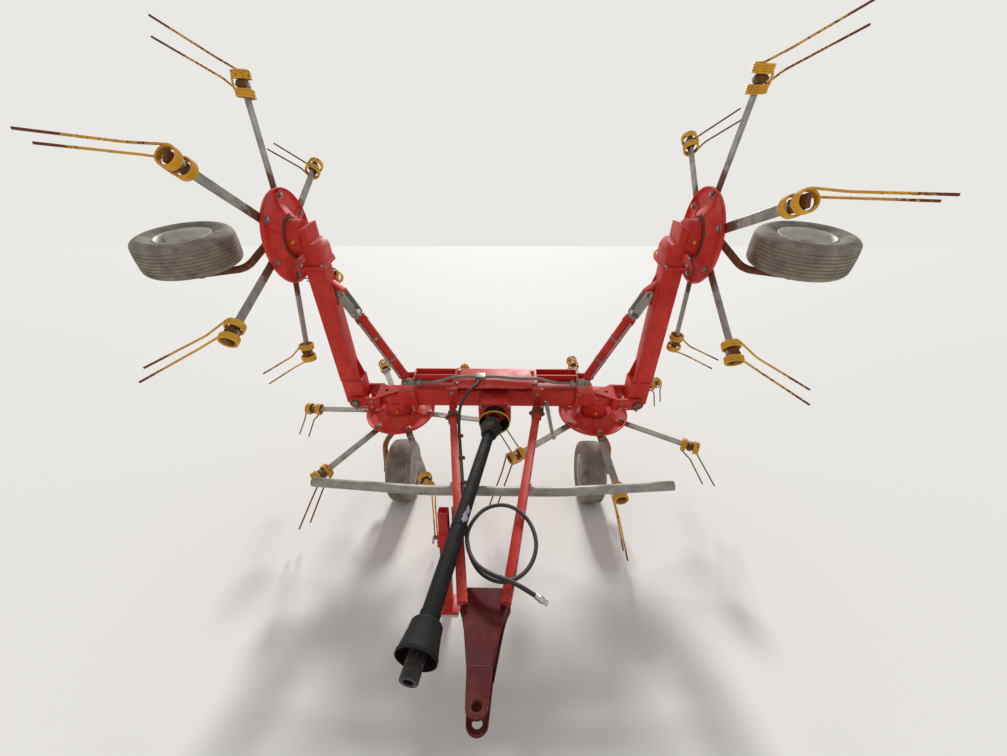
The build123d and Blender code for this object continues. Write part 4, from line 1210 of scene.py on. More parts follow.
@dataclass(frozen=True)
class Rotor(Station):
    """One rotor: a pressed dish, six flat arms, and double coil tines on holders."""

    angle: float
    turn: int
    rust: tuple[float, ...]
    coil_circle: float = 608.0
    arm_width: float = 40.0
    arm_thick: float = 10.0
    arm_corner: float = 1.4
    wire: float = 4.25
    coil_radius: float = 35.5
    coil_turns: float = 3.6
    coil_half: float = 14.0
    coil_spread: float = 33.0
    knee_drop: float = 88.0
    outer_drop: float = 290.0
    inner_drop: float = 307.0
    rib_height: float = 8.6
    rib_half: float = 24.0

    @property
    def body(self) -> str:
        """The CAD body that spins with it."""
        return f"rotor_{self.where}"

    def spokes(self) -> list[Seat]:
        """Return the frames whose x runs out along each arm."""
        return [self.seat.turned(about_z=self.angle + step * 60) for step in range(6)]

    def build(self) -> None:
        """Make the dish, its bolts, the arms, the tine holders and the tines."""
        self.dish()
        self.arms()
        self.holders()
        self.tines()
        self.fasteners()

    def dish(self) -> None:
        """Turn the dish, with a raised channel with parallel walls pressed over each arm.

        Columns beside an arm keep their distance across it, so at radius r they sit at the
        angle arcsin(distance / r); the rest share the angle between two channels evenly. The
        channel's height is a step across it times a step at its inner and its outer end.
        """
        top = (
            (36.1, 66.0), (60, 66.0), (88, 66.0), (95, 65.4), (100, 63.4), (106, 60.2), (112, 57.0),
            (126, 49.2), (140, 41.4), (148, 37.6), (154, 36.2), (164, 36.0), (176, 36.0), (186, 36.0),
            (194, 36.0), (199, 36.0), (204, 36.1), (206.5, 37.2), (209.5, 41.0), (212, 47.0),
            (213.6, 51.2), (216.0, 52.6), (218.6, 52.2), (220, 50.0),
        )
        under = (
            (220, 42.5), (217.5, 37.5), (212, 31.0), (205, 30.0), (152, 30.0), (146, 31.2), (93, 59.2),
            (88, 60), (24.1, 60), (24.1, 71.9), (36.1, 71.9),
        )
        profile = np.array(top + under)
        pressed = np.concatenate((np.ones(len(top)), np.zeros(len(under))))
        radius = profile[:, :1]
        wall = self.rib_half + np.array((3.4, 3.0, 0.4, 0.0, -3.0))
        offsets = np.concatenate((-wall, (0.0,), wall[::-1]))
        beside = np.arcsin(offsets / np.maximum(radius, 92.0))
        between = beside[:, -1:] + (np.pi / 3 - 2 * beside[:, -1:]) * np.linspace(0, 1, 6)[1:-1]
        sector = np.concatenate((beside, between), axis=1)
        starts = np.radians(self.angle + 60.0 * np.arange(6))
        turn = (starts[None, :, None] + sector[:, None, :]).reshape(len(profile), -1)
        brink = self.rib_half + np.array((0.0, 0.4, 3.0, 3.4))
        across = np.interp(np.abs(offsets), brink, (1.0, 0.94, 0.06, 0.0))
        rise = np.tile(np.concatenate((across, np.zeros(4))), 6)
        reach = np.interp(profile[:, 0], (100, 106, 199, 204), (0, 1, 1, 0)) * pressed
        lift = self.rib_height * reach[:, None] * rise
        local = np.stack((radius * np.cos(turn), radius * np.sin(turn), profile[:, 1:] + lift), axis=-1)
        worn = np.interp(profile[:, 0], (0, 92, 96, 102, 214, 219), (0.1, 0.12, 0.2, 0.0, 0.0, 0.16))
        shell = Shell()
        shell.grid(self.seat.place(local), True, np.repeat(worn * pressed, turn.shape[1]))
        # The channels' rounded edges take the red edge finish: worn paint and a painted highlight.
        shell.make(
            f"dish_{self.where}", Finish.RED_DISC, self.body, (f"disc_{self.where}",),
            bevel=1.3, edge=Finish.RED_EDGE,
        )

    def arms(self) -> None:
        """Carry a flat bar's section along each arm, level under the dish and sloping to the coils."""
        half, thin, cut = self.arm_width / 2, self.arm_thick / 2, self.arm_corner
        section = np.array((
            (-half + cut, -thin), (half - cut, -thin), (half, -thin + cut), (half, thin - cut),
            (half - cut, thin), (-half + cut, thin), (-half, thin - cut), (-half, -thin + cut),
        ))
        near = (118, 200, 218, 226, 234, 246, 262, 284, 310)
        far = (350, 420, 500, 560, 584, 598, 608, 618, 652)
        out = np.array(near + far, float)
        level = np.interp(out, (118, 222, 230, 606, 612, 652), (25, 25, 24.6, 0.2, 0, 0))
        root = 0.85 if self.place is Place.WING else 0.35
        wear = np.interp(out, (118, 235, 275, 330, 560, 600, 652), (root, root, root / 2, 0.0, 0.0, 0.4, 0.7))
        shell = Shell()
        for spoke in self.spokes():
            path = spoke.place(np.column_stack((out, 0 * out, level)))
            shell.sweep(path, section, wear, across=spoke.axes[2])
        shell.make(f"flat_arms_{self.where}", Finish.GREY_ARM, self.body, (f"arms_{self.where}",))

    def holders(self) -> None:
        """Cast the holders on the arms, each with a stub through either coil."""
        shell = Shell()
        for spoke in self.spokes():
            seat = spoke.shifted(self.coil_circle, 0, 0)
            outline = ((-14, -22), (-8, -29), (8, -29), (14, -22), (14, 22), (8, 29), (-8, 29), (-14, 22))
            shell.prism(seat, outline, -15, 15, 0.3)
            for end in (-1, 1):
                shell.block(seat, (end * 30, 0, 0), (34, 46, 16), 0.4)
        shell.make(f"tine_holders_{self.where}", Finish.RUSTY, self.body, bevel=2.5)

    def wire_half(self, sign: int) -> tuple[np.ndarray, np.ndarray]:
        """Return one half of a double tine, from the bridge behind the holder to the prong's tip.

        The coil is a helix: its place along the arm grows evenly with its turn. The prong leaves
        it in line with its last turn, bends at the knee and runs straight to the tip.

        Args:
            sign: 1 for the outer coil, -1 for the inner.

        Returns:
            Points in the spoke's frame, and how far along the prong each is, 0 on the coil.
        """
        middle = self.coil_circle + sign * self.coil_spread
        phase = np.linspace(-self.coil_turns * 2 * np.pi, 0, int(self.coil_turns * 20))
        out = middle + sign * np.linspace(-self.coil_half, self.coil_half, len(phase))
        aside = self.turn * self.coil_radius * np.cos(phase)
        coil = np.column_stack((out, aside, -self.coil_radius * np.sin(phase)))
        lead_in = coil[0] - (coil[1] - coil[0]) * 0.9
        bridge = np.array(((self.coil_circle, lead_in[1], lead_in[2]), lead_in + (-sign * 4, 0, 0), lead_in))
        drop = self.outer_drop if sign > 0 else self.inner_drop
        knee = self.knee_drop
        corners = (
            coil[-1],
            coil[-1] + (0, 0, -12),
            (middle + 58, self.turn * 13, -knee),
            (middle + 128, -self.turn * 10.5, -knee - 0.547 * (drop - knee)),
            (middle + 186, -self.turn * 30, -drop),
        )
        prong = rounded(corners, 15)[1:]
        path = np.concatenate((bridge, coil, prong))
        along = np.concatenate((np.zeros(len(bridge) + len(coil)), np.linspace(0.05, 1, len(prong))))
        return path, along

    def tines(self) -> None:
        """Wind the six double tines, each one wire from tip to tip; the wear grows towards the tips."""
        inner, inner_along = self.wire_half(-1)
        outer, outer_along = self.wire_half(1)
        local = np.concatenate((inner[::-1], outer[1:]))
        along = np.concatenate((inner_along[::-1], outer_along[1:]))
        shell = Shell()
        section = ring_points(self.wire, 8)
        for spoke, rust in zip(self.spokes(), self.rust):
            wear = rust * np.interp(along, (0, 0.05, 0.3, 1), (0.28, 0.45, 0.9, 1.0)) * 0.42
            wear = np.maximum(wear, np.interp(along, (0.9, 1.0), (0, 0.35)))
            shell.sweep(spoke.place(local), section, wear)
        replaced = (f"tines_{self.where}",)
        shell.make(f"wound_tines_{self.where}", Finish.SPRING, self.body, replaced)

    def fasteners(self) -> None:
        """Set the bolts of the dish and of the tine holders."""
        seats = []
        shell = Shell()
        for spoke in self.spokes():
            seats.append(spoke.shifted(187, 0, 45))
            seats.append(spoke.shifted(self.coil_circle, 0, 15))
            shell.revolve(spoke.shifted(self.coil_circle, 0, -32), ((6, 0), (7, 2), (7, 18)), 10, wear=0.5)
            shell.revolve(
                spoke.shifted(self.coil_circle, 0, -26), ((12, 0), (12.6, 1.5), (12.6, 11)), 6, wear=0.4,
            )
        shell.bolts(seats, 19, 9)
        shell.make(f"rotor_bolts_{self.where}", Finish.ZINC, self.body)


@dataclass(frozen=True)
class Wheel(Station):
    """One wheel: a ribbed implement tyre on a white pressed rim."""

    grooves: tuple[float, ...] = (-45.0, -30.0, -15.0, 0.0, 15.0, 30.0, 45.0)
    groove_depth: float = 5.5
    tread_half: float = 53.0
    bolt_circle: float = 48.0
    wheel_bolts: int = 5

    @property
    def body(self) -> str:
        """The CAD body that rolls with it."""
        return f"wheel_{self.where}"

    @property
    def axle(self) -> Seat:
        """The wheel's frame, z along its axle."""
        return self.seat.shifted(0, -LAYOUT.wheel_forward, -LAYOUT.wheel_drop).facing_x()

    @property
    def face(self) -> int:
        """The side of the wheel away from its leg, along the wheel's z."""
        return -self.side if self.place is Place.INNER else self.side

    def build(self) -> None:
        """Make the tyre, the rim and its small parts."""
        self.tyre()
        self.rim()
        self.small_parts()

    def tyre(self) -> None:
        """Turn the tyre's section about the axle: seven grooves in a slightly crowned tread.

        The crown falls with the square of the distance from the tyre's middle.
        """
        level = (np.array(self.grooves)[:, None] + np.array((-3.4, -2.0, 2.0, 3.4))).ravel()
        deep = np.tile((0.0, self.groove_depth, self.groove_depth, 0.0), len(self.grooves))
        crown = LAYOUT.tyre_radius - 2.5 * (level / self.tread_half) ** 2
        tread = np.column_stack((crown - deep, level))
        tread_wear = np.where(deep > 0, 0.95, 0.35)
        flank = np.array((
            (
                200.2, self.tread_half,
            ), (197, 60), (191, 67), (183, 72.5), (174, 76), (165, 78), (160, 78.8), (157, 78.0),
            (146, 76.5), (134, 71.5), (126, 66.8), (121, 65.6), (116, 63.6), (109, 62.4), (106, 61),
        ))
        flank_wear = np.interp(flank[:, 0], (106, 125, 150, 190, 200), (0.5, 0.2, 0.25, 0.4, 0.35))
        mirrored = (flank * (1, -1))[::-1]
        profile = np.concatenate((mirrored, tread, flank))
        wear = np.concatenate((flank_wear[::-1], tread_wear, flank_wear))
        shell = Shell()
        shell.revolve(self.axle, profile, 72, True, wear)
        replaced = (f"tyre_{self.where}",)
        shell.make(f"ribbed_tyre_{self.where}", Finish.TYRE, self.body, replaced, smooth=40)

    def rim(self) -> None:
        """Turn the rim: rolled lips, a well, and a dished disc on a long hub."""
        section = (
            (113, 66), (109.5, 66.8), (106, 65), (103, 60), (101.6, 50), (101, 39), (97.5, 31), (93.5, 24),
            (92, 12), (90.5, 2), (86, -4), (76, -5), (66, 0), (58, 5), (48, 7), (37, 7), (34.5, 9), (34, 24),
            (30, 26.5), (16, 26.5), (16, -46), (34, -46), (34, -3), (46, -2), (56, -3), (66, -8), (78, -14),
            (89, -13), (93, -20), (96.5, -31), (101, -40), (101.6, -52), (103, -60), (106, -65), (109.5, -66.8),
            (113, -66), (113, -62.8), (107.5, -61.5), (105.8, -55), (104.8, -40), (98.5, -24), (97.5, -10),
            (97.5, 10), (98.5, 24), (104.8, 40), (105.8, 55), (107.5, 61.5), (113, 62.8),
        )
        profile = np.array(section) * (1, self.face)
        wear = np.where(profile[:, 0] > 108, 0.12, np.where(profile[:, 0] < 60, 0.1, 0.0))
        shell = Shell()
        shell.revolve(self.axle, profile, 64, True, wear)
        replaced = (f"rim_{self.where}",)
        shell.make(f"pressed_rim_{self.where}", Finish.RIM, self.body, replaced, smooth=36)

    def small_parts(self) -> None:
        """Set the rim's bolts, the axle's dust cap and the valve."""
        axle = self.axle
        front = Seat(axle.origin, axle.axes * np.array((1, self.face, self.face))[:, None])
        shell = Shell()
        spots = ring_points(self.bolt_circle, self.wheel_bolts)
        shell.bolts([front.shifted(x, y, 7) for x, y in spots], 17, 9, 1.5)
        shell.revolve(front, ((24, 26), (24, 33), (21, 37), (12, 39.5), (3, 40)), 24, wear=0.4)
        valve = front.shifted(0, 96, 20)
        shell.revolve(valve, ((4.4, 0), (4.4, 12), (3.2, 14), (3.2, 30)), 10, wear=0.3)
        shell.make(f"wheel_fittings_{self.where}", Finish.ZINC, self.body)


@dataclass(frozen=True)
class Gearbox(Station):
    """One rotor's cast gearbox, with the bent leg that carries the wheel."""

    low: float
    high: float
    flange_x: float = -122.0
    flange_bolt_y: float = 75.0
    leg_out: float = 116.0
    leg_radius: float = 17.0

    @property
    def body(self) -> str:
        """The CAD body that carries it."""
        return "chassis" if self.place is Place.INNER else f"wing_{HANDS[self.side]}"

    def build(self) -> None:
        """Round the casting, and add a wing's dark brown ring, the bolts and the leg."""
        soften(f"gearbox_{self.where}", Finish.RED, self.body, 4.0, Finish.RED_EDGE)
        if self.place is Place.WING:
            self.ring()
        self.fasteners()
        self.leg()

    def ring(self) -> None:
        """Turn the dark brown ring on the dish's boss, under the collar."""
        shell = Shell()
        profile = ((84, 65), (84, 69), (93, 69.4), (97, 67), (99, 63.2), (96, 63), (92, 65))
        shell.revolve(self.seat, profile, 60, True, 0.6)
        shell.make(f"hub_ring_{self.where}", Finish.RUSTY, f"rotor_{self.where}")

    def fasteners(self) -> None:
        """Set the flange's corner bolts and the yellow grease cap low on the collar."""
        shell = Shell()
        flange = self.seat.outward(self.side).shifted(self.flange_x, 0, 0).facing_x()
        rows = (self.low + 8, self.high - 8)
        columns = (-self.flange_bolt_y, self.flange_bolt_y)
        shell.bolts([flange.shifted(y, z, 0) for y in columns for z in rows], 15, 8, 1.15)
        shell.make(f"gearbox_bolts_{self.where}", Finish.ZINC, self.body)
        cap = Shell()
        front = self.seat.shifted(0, -80, 98).facing_y()
        cap.revolve(front, ((8, -6), (8, 5), (6, 9), (2, 10)), 16)
        cap.make(f"grease_cap_{self.where}", Finish.BELL, self.body)

    def leg(self) -> None:
        """Bend the leg: a flat forged bar down from the axle's post, then a stub into the hub."""
        inner = self.place is Place.INNER
        out = self.side * self.leg_out if inner else -self.side * self.leg_out
        ahead, down = -LAYOUT.wheel_forward, -LAYOUT.wheel_drop
        corners = (
            (0, 0, 20), (0, 0, -36), (out, 0.62 * ahead, -150), (out, ahead, down + 10),
            (out, ahead, down - 10),
        )
        seat = self.seat
        shell = Shell()
        guide = seat.axes[0] + 0.4 * seat.axes[1]
        shell.sweep(seat.place(rounded(corners, 46, 9)), ring_points(self.leg_radius, 18), 0.25, across=guide)
        shell.revolve(seat, ((24, -44), (27, -38), (27, -6), (24, 0), (24, 72)), 28, wear=0.3)
        stub = seat.shifted(out, ahead, down).facing_x()
        reach = -1 if out > 0 else 1
        axle = np.array(((19, -16), (19, 6), (22, 8), (22, 22), (15, 24), (15, 150))) * (1, reach)
        shell.revolve(stub, axle, 24, wear=0.2)
        finish = Finish.TAN_LEG if inner else Finish.LEG
        shell.make(f"bent_leg_{self.where}", finish, self.body, (f"wheel_leg_{self.where}",))


@dataclass(frozen=True)
class Wing:
    """One folding wing's beam and the hinge that carries it."""

    side: int

    @property
    def hand(self) -> str:
        """The side in the names of the nodes."""
        return HANDS[self.side]

    def build(self) -> None:
        """Round the beam and the hinge block, and add their stiffeners, pins, bolts and gusset."""
        soften(f"wing_beam_{self.hand}", Finish.RED, f"wing_{self.hand}", 5.0, Finish.RED_EDGE)
        soften(f"hinge_block_{self.hand}", Finish.RED, "chassis", 4.0, Finish.RED_EDGE)
        self.stiffeners()
        self.pins()
        self.gusset()

    def stiffeners(self) -> None:
        """Weld gussets from the beam's root onto the beam, and cheeks beside the link's bracket."""
        seat = LAYOUT.wing(self.side)
        upright = seat.facing_y()
        root = np.array(((148, 26), (262, 26), (262, 30), (148, 57))) * (self.side, 1)
        cheek = np.array(((610, 24), (820, 24), (740, 44), (680, 44))) * (self.side, 1)
        along, high = LAYOUT.link_pin
        shell = Shell()
        for y in (-40, 40):
            for outline in (root, cheek):
                shell.prism(upright.shifted(0, 0, -y), outline, -4, 4)
        for y in (-19, 19):
            boss = seat.shifted(self.side * along, y, high).facing_y()
            shell.revolve(boss, ((17, -2.5), (17, 2.5)), 28)
        shell.make(f"wing_stiffeners_{self.hand}", Finish.RED, f"wing_{self.hand}", bevel=1.5)

    def pins(self) -> None:
        """Set the hinge pins' heads in rusty rings, with their keepers, and the hinge's bolts."""
        side = self.side
        shell = Shell()
        rings = Shell()
        hinge = LAYOUT.carrier.shifted(side * LAYOUT.hinge_x, 0, LAYOUT.hinge_level)
        spots = ((-102, 22), (-102, -24), (-64, -16))
        for face in (-1, 1):
            head = hinge.shifted(0, face * 78, 0).facing_y(face)
            rings.revolve(head, ((19, 0), (31, 0), (31, 4), (29, 5.5), (19, 5.5)), 36, True, 0.6)
            shell.revolve(head, ((20, 0), (20, 11), (17, 14), (5, 14.5)), 30, wear=0.35)
            shell.block(head, (0, -24, 5), (18, 34, 5), 0.3)
            shell.bolts([head.shifted(0, -34, 7)], 13, 6, 1.1)
            shell.bolts([head.shifted(side * x, -face * y, 0) for x, y in spots], 15, 7, 1.2)
        plate_x = LAYOUT.rotor_spacing / 2 + 112
        plate = LAYOUT.carrier.outward(side).shifted(plate_x, 0, 0).facing_x()
        shell.bolts([plate.shifted(y, z, 0) for y in (-44, 44) for z in (138, 194)], 17, 9, 1.3)
        shell.make(f"hinge_pins_{self.hand}", Finish.ZINC, "chassis")
        rings.make(f"hinge_rings_{self.hand}", Finish.RUSTY, "chassis")

    def gusset(self) -> None:
        """Lay the drilled, tapered plate from the gearbox out to the hinge's back plate."""
        side = self.side
        start = LAYOUT.rotor_spacing / 2
        outline = np.array(((start - 8, -12), (start + 116, -78), (start + 116, 78), (start - 8, 12)))
        shell = Shell()
        seat = LAYOUT.carrier.shifted(0, 0, 200)
        shell.drilled(seat, (outline * (side, 1))[::side], (side * (start + 66), 0, 10), 2, 11, 0.1)
        shell.make(f"hinge_gusset_{self.hand}", Finish.RED, "chassis", bevel=1.5)


@dataclass(frozen=True)
class LiftCylinder:
    """One wing's lift cylinder with its links: painted barrel, chromed rod, plates and pins."""

    side: int
    radius: float = 31.0
    link: float = 130.0
    port_level: float = 54.0
    pipe_offset: float = -41.5

    @property
    def hand(self) -> str:
        """The side in the names of the nodes."""
        return HANDS[self.side]

    @property
    def along(self) -> Seat:
        """The frame at the base pin, z up the cylinder."""
        return LAYOUT.cylinder(self.side).facing_x(self.side)

    @property
    def eye(self) -> float:
        """Level of the rod's eye along the cylinder, wings folded."""
        return LAYOUT.cylinder_line()[0] - self.link

    def build(self) -> None:
        """Dress the CAD parts and add the gland, collars, ports, clips, pipe and pin heads."""
        dress(f"lift_barrel_{self.hand}", Finish.RED)
        dress(f"lift_rod_{self.hand}", Finish.CHROME)
        soften(f"lift_link_{self.hand}", Finish.GREY_PLATE, f"lift_link_{self.hand}", 1.2)
        self.collars()
        self.clips()
        self.pipe()
        self.pins()

    def collars(self) -> None:
        """Turn the barrel's collar, the gland at its end and the two ports of the pipe."""
        along, eye, radius = self.along, self.eye, self.radius
        shell = Shell()
        shell.revolve(along, ((radius, 30), (33.5, 33), (33.5, 44), (radius, 46)), 36, wear=0.1)
        gland = (
            (radius, eye - 62), (34, eye - 60), (34, eye - 36), (32, eye - 33), (32, eye - 27),
            (27, eye - 24.5), (17, eye - 24.5),
        )
        shell.revolve(along, gland, 36, wear=0.12)
        for level in (self.port_level, eye - 48):
            port = along.shifted(-30, 0, level).facing_x(-1)
            shell.revolve(port, ((11, -4), (11, 9), (8, 11)), 16, wear=0.2)
        shell.make(f"barrel_collars_{self.hand}", Finish.RED, f"lift_barrel_{self.hand}")

    def clips(self) -> None:
        """Turn the two clips that hold the pipe on the barrel."""
        along = self.along
        shell = Shell()
        for level in (170, 330):
            band = ((31.2, -6), (32.6, -6), (32.6, 6), (31.2, 6))
            shell.revolve(along.shifted(0, 0, level), band, 40, True, 0.3)
            shell.block(along, (-38, 0, level), (14, 16, 12), 0.3)
        shell.make(f"pipe_clips_{self.hand}", Finish.ZINC, f"lift_barrel_{self.hand}")

    def pipe(self) -> None:
        """Bend the hard pipe from port to port, beside the barrel."""
        start, end, offset = self.port_level, self.eye - 48, self.pipe_offset
        corners = (
            (-34, 0, start), (offset, 0, start), (offset, 0, start + 26),
            (offset, 0, end - 26), (offset, 0, end), (-34, 0, end),
        )
        shell = Shell()
        shell.sweep(self.along.place(rounded(corners, 8)), ring_points(5.2, 10), 0.1)
        shell.make(f"hard_pipe_{self.hand}", Finish.GREY_TUBE, f"lift_barrel_{self.hand}")

    def pins(self) -> None:
        """Turn the heads of the link's two pins, on both of its faces."""
        shell = Shell()
        for level, half in ((LAYOUT.cylinder_line()[0], 30), (self.eye, 31)):
            for face in (-1, 1):
                spot = self.along.shifted(face * half, 0, level).facing_x(face)
                shell.revolve(spot, ((15, 0), (15, 3), (10.5, 3.2), (10.5, 8), (9, 9.5)), 24, wear=0.3)
        shell.make(f"link_pins_{self.hand}", Finish.ZINC, f"lift_link_{self.hand}")


@dataclass(frozen=True)
class Carrier:
    """The middle frame: beam, upper channel, tray with lugs, bevel box and its yellow bell."""

    bell_start: float = 203.0
    bell_end: float = 283.0
    lug_half: float = 31.0
    pin_hole: float = 10.5

    def build(self) -> None:
        """Round the plates and castings, and add the bell, the lugs' faces and the bolts."""
        roundings = {"main_beam": 7.0, "upper_cross_member": 3.0, "headstock": 2.5, "centre_gearbox": 3.0}
        for node, width in roundings.items():
            soften(node, Finish.RED, "chassis", width, Finish.RED_EDGE)
        soften("hose_block", Finish.GREY_PLATE, "chassis", 2.0)
        self.bell()
        self.lug_faces()
        self.fasteners()

    def lug_faces(self) -> None:
        """Face the cylinders' base lugs with bare plates, drilled for the pins."""
        pin, level = LAYOUT.base_pin
        reach = (pin - 62, pin + 8, pin + 26, pin + 26, pin + 6, pin - 62)
        rise = (level - 23, level - 23, level - 8, level + 10, level + 27, level + 32)
        shell = Shell()
        for side in HANDS:
            for face in (-1, 1):
                front = LAYOUT.carrier.shifted(0, face * self.lug_half, 0).facing_y()
                outline = np.column_stack((side * np.array(reach), rise))[::side]
                shell.drilled(front, outline, (side * pin, level, self.pin_hole), 0, -face * 4, 0.2)
        shell.make("base_lug_faces", Finish.GREY_PLATE, "chassis", bevel=1.0)

    def bell(self) -> None:
        """Turn the bell: a black flared wall with a rolled yellow rim."""
        front = LAYOUT.carrier.shifted(0, 0, LAYOUT.joint_level).facing_y()
        start, end = self.bell_start, self.bell_end
        wall = Shell()
        section = (
            (61, start), (64, start), (64, start + 20), (66, start + 26),
            (88.5, end - 6), (86, end - 6), (63.5, start + 27), (61, start + 20),
        )
        wall.revolve(front, section, 60, True, 0.1)
        wall.make("bell_wall", Finish.GUARD, "chassis", ("input_bell",))
        rim = Shell()
        lip = (
            (84.5, end - 8), (87.5, end - 9), (90, end - 7), (90.4, end - 3), (89, end), (86, end),
            (84.5, end - 3),
        )
        rim.revolve(front, lip, 60, True, 0.1)
        rim.make("bell_rim", Finish.BELL, "chassis")

    def fasteners(self) -> None:
        """Set the bolts of the headstock, the bevel box and the tray, and the base pins' heads."""
        seat = LAYOUT.carrier
        pin, level = LAYOUT.base_pin
        shell = Shell()
        spots = [(x, -146, z) for x in (-250, 250) for z in (312, 218)]
        spots += [(x, -203, z) for x in (-80, 80) for z in (142, 262)]
        shell.bolts([seat.shifted(*spot).facing_y() for spot in spots], 19, 9, 1.4)
        shell.bolts([seat.shifted(x, y, 341) for x in (-225, 225) for y in (-96, 30)], 17, 8, 1.4)
        for side in HANDS:
            for face in (-1, 1):
                head = seat.shifted(side * pin, face * 36, level).facing_y(face)
                shell.revolve(head, ((15, -1), (15, 2.5), (10.5, 3), (10.5, 9), (9, 10)), 24, wear=0.3)
        shell.make("carrier_bolts", Finish.ZINC, "chassis")


@dataclass(frozen=True)
class Drawbar:
    """The two rails, the hitch plates, and the tube bent across ahead of the inner tines."""

    rail_rear: tuple[float, float, float] = (250.0, -241.0, 142.0)
    rail_front: tuple[float, float, float] = (90.0, -1240.0, -142.0)
    guard_y: float = -752.0
    guard_end_y: float = -690.0
    guard_straight: float = 340.0
    guard_half: float = 905.0
    guard_radius: float = 24.0
    guard_gap: float = 8.0
    rail_half: float = 23.0
    hole_y: float = -1640.0
    hole_radius: float = 16.0
    tip_radius: float = 34.0
    plate_tops: tuple[float, float] = (-164.0, -236.0)
    plate_thick: float = 12.0

    def rail(self, side: int, y: float) -> Seat:
        """Return the frame on a rail's middle line at y: x across it, y along it, z up.

        Args:
            side: The rail's side.
            y: Distance behind the rotor middle.

        Returns:
            The frame, its origin on the line.
        """
        rear = np.array(self.rail_rear) * (side, 1, 1)
        front = np.array(self.rail_front) * (side, 1, 1)
        along = (rear - front) / np.linalg.norm(rear - front)
        share = (rear[1] - y) / (rear[1] - front[1])
        across = np.cross(along, (0, 0, 1))
        across /= np.linalg.norm(across)
        axes = np.array((across, along, np.cross(across, along)))
        return Seat(LAYOUT.machine.place(rear + (front - rear) * share), axes)

    def build(self) -> None:
        """Round the rails, cut the hitch plates, bend the tube, and fit saddles, clips and clevises."""
        for hand in HANDS.values():
            soften(f"drawbar_rail_{hand}", Finish.RED, "chassis", 4.0, Finish.RED_EDGE)
        self.hitch()
        self.guard()
        self.saddles()
        self.clips()
        self.clevises()
        self.hanger()

    def hitch(self) -> None:
        """Cut the two hitch plates, wide at the rails, necked, round at the hole, and their web."""
        seat, hole_y, tip, thick = LAYOUT.machine, self.hole_y, self.tip_radius, self.plate_thick
        half = ((42, -1522), (74, -1340), (86, -1292), (98, -1262), (98, -1225))
        turn = np.radians(np.linspace(180, 360, 17))
        arc = np.column_stack((tip * np.cos(turn), hole_y + tip * np.sin(turn)))
        front = (*arc, half[0], (-half[0][0], half[0][1]))
        rear = (*half, *((-x, y) for x, y in half[::-1]))
        plates = Shell()
        for top in self.plate_tops:
            plates.drilled(seat, front, (0, hole_y, self.hole_radius), top - thick, top)
            plates.prism(seat, rear, top - thick, top)
        plates.block(seat, (0, -1372.5, -206), (50, 190, 60))
        # The plates' dark red is painted shade. Their lighter edges are a painted highlight.
        plates.make(
            "hitch_plates", Finish.SHADE_PAINTED_RED, "chassis", ("tongue",),
            bevel=2.0, edge=Finish.SHADE_PAINTED_RED_EDGE,
        )

    def guard(self) -> None:
        """Bend the tube, a little under the rails, its straight ends cut into even steps."""
        rail_level = (self.rail(1, self.guard_y).origin - LAYOUT.machine.origin)[2]
        level = rail_level - self.rail_half - self.guard_radius - self.guard_gap
        half, straight = self.guard_half, self.guard_straight
        corners = (
            (-half, self.guard_end_y, level), (-straight, self.guard_y, level),
            (straight, self.guard_y, level), (half, self.guard_end_y, level),
        )
        line = LAYOUT.machine.place(rounded(corners, 90, 12))
        steps = np.linspace(0, 1, 14)[1:-1, None]
        left_end = line[:1] + (line[1] - line[0]) * steps
        right_end = line[-2] + (line[-1] - line[-2]) * steps
        path = np.concatenate((line[:1], left_end, line[1:-1], right_end, line[-1:]))
        shell = Shell()
        shell.sweep(path, ring_points(self.guard_radius, 28), 0.05, across=np.array((0, 0, 1.0)))
        shell.make("bent_guard_tube", Finish.GREY_TUBE, "chassis", ("front_guard",))

    def saddles(self) -> None:
        """Weld a saddle under each rail onto the tube, and set its bolt."""
        saddles = Shell()
        bolts = Shell()
        for side in HANDS:
            seat = self.rail(side, self.guard_y)
            saddles.block(seat, (0, 0, -32), (40, 56, 18))
            head = seat.shifted(side * 20, -20, 8).turned(about_z=90 - 90 * side).facing_x()
            bolts.bolts([head], 15, 8, 1.2)
        saddles.make("guard_saddles", Finish.RED, "chassis", bevel=2.0)
        bolts.make("guard_saddle_bolts", Finish.ZINC, "chassis")

    def clips(self) -> None:
        """Bend the clips that hold the hose on the left rail's inner face."""
        start, end = np.array((-199, -372, 105.0)), np.array((-109, -930, -54.0))
        shell = Shell()
        for share in (0.14, 0.42, 0.7, 0.965):
            spot = towards(LAYOUT.machine.place(start + (end - start) * share), end - start)
            shell.revolve(spot, ((8.6, -9), (11, -9), (11, 9), (8.6, 9)), 24, True, 0.5)
            shell.block(spot, (13, 0, 0), (16, 10, 18), 0.6)
        shell.make("hose_clips", Finish.RUSTY, "chassis", bevel=0.8)

    def clevises(self) -> None:
        """Round the rusty clevis straps of the rails' rear ends, and set their crosswise bolts."""
        soften("rail_clevises", Finish.RUSTY, "chassis", 2.0)
        washer = ((17, -1), (17, 2.4), (16, 3))
        shank = ((8, 12), (8, 17), (6.5, 18.5))
        bolts = Shell()
        for side, ahead in ((1, 21.0), (-1, 59.0)):
            seat = self.rail(side, self.rail_rear[1] - ahead)
            for face in (-1, 1):
                head = seat.shifted(face * 28, 0, 0).facing_x(face)
                bolts.revolve(head, washer, 24, wear=0.4)
                bolts.revolve(head, shank, 16, wear=0.3)
        bolts.make("clevis_bolts", Finish.ZINC, "chassis")

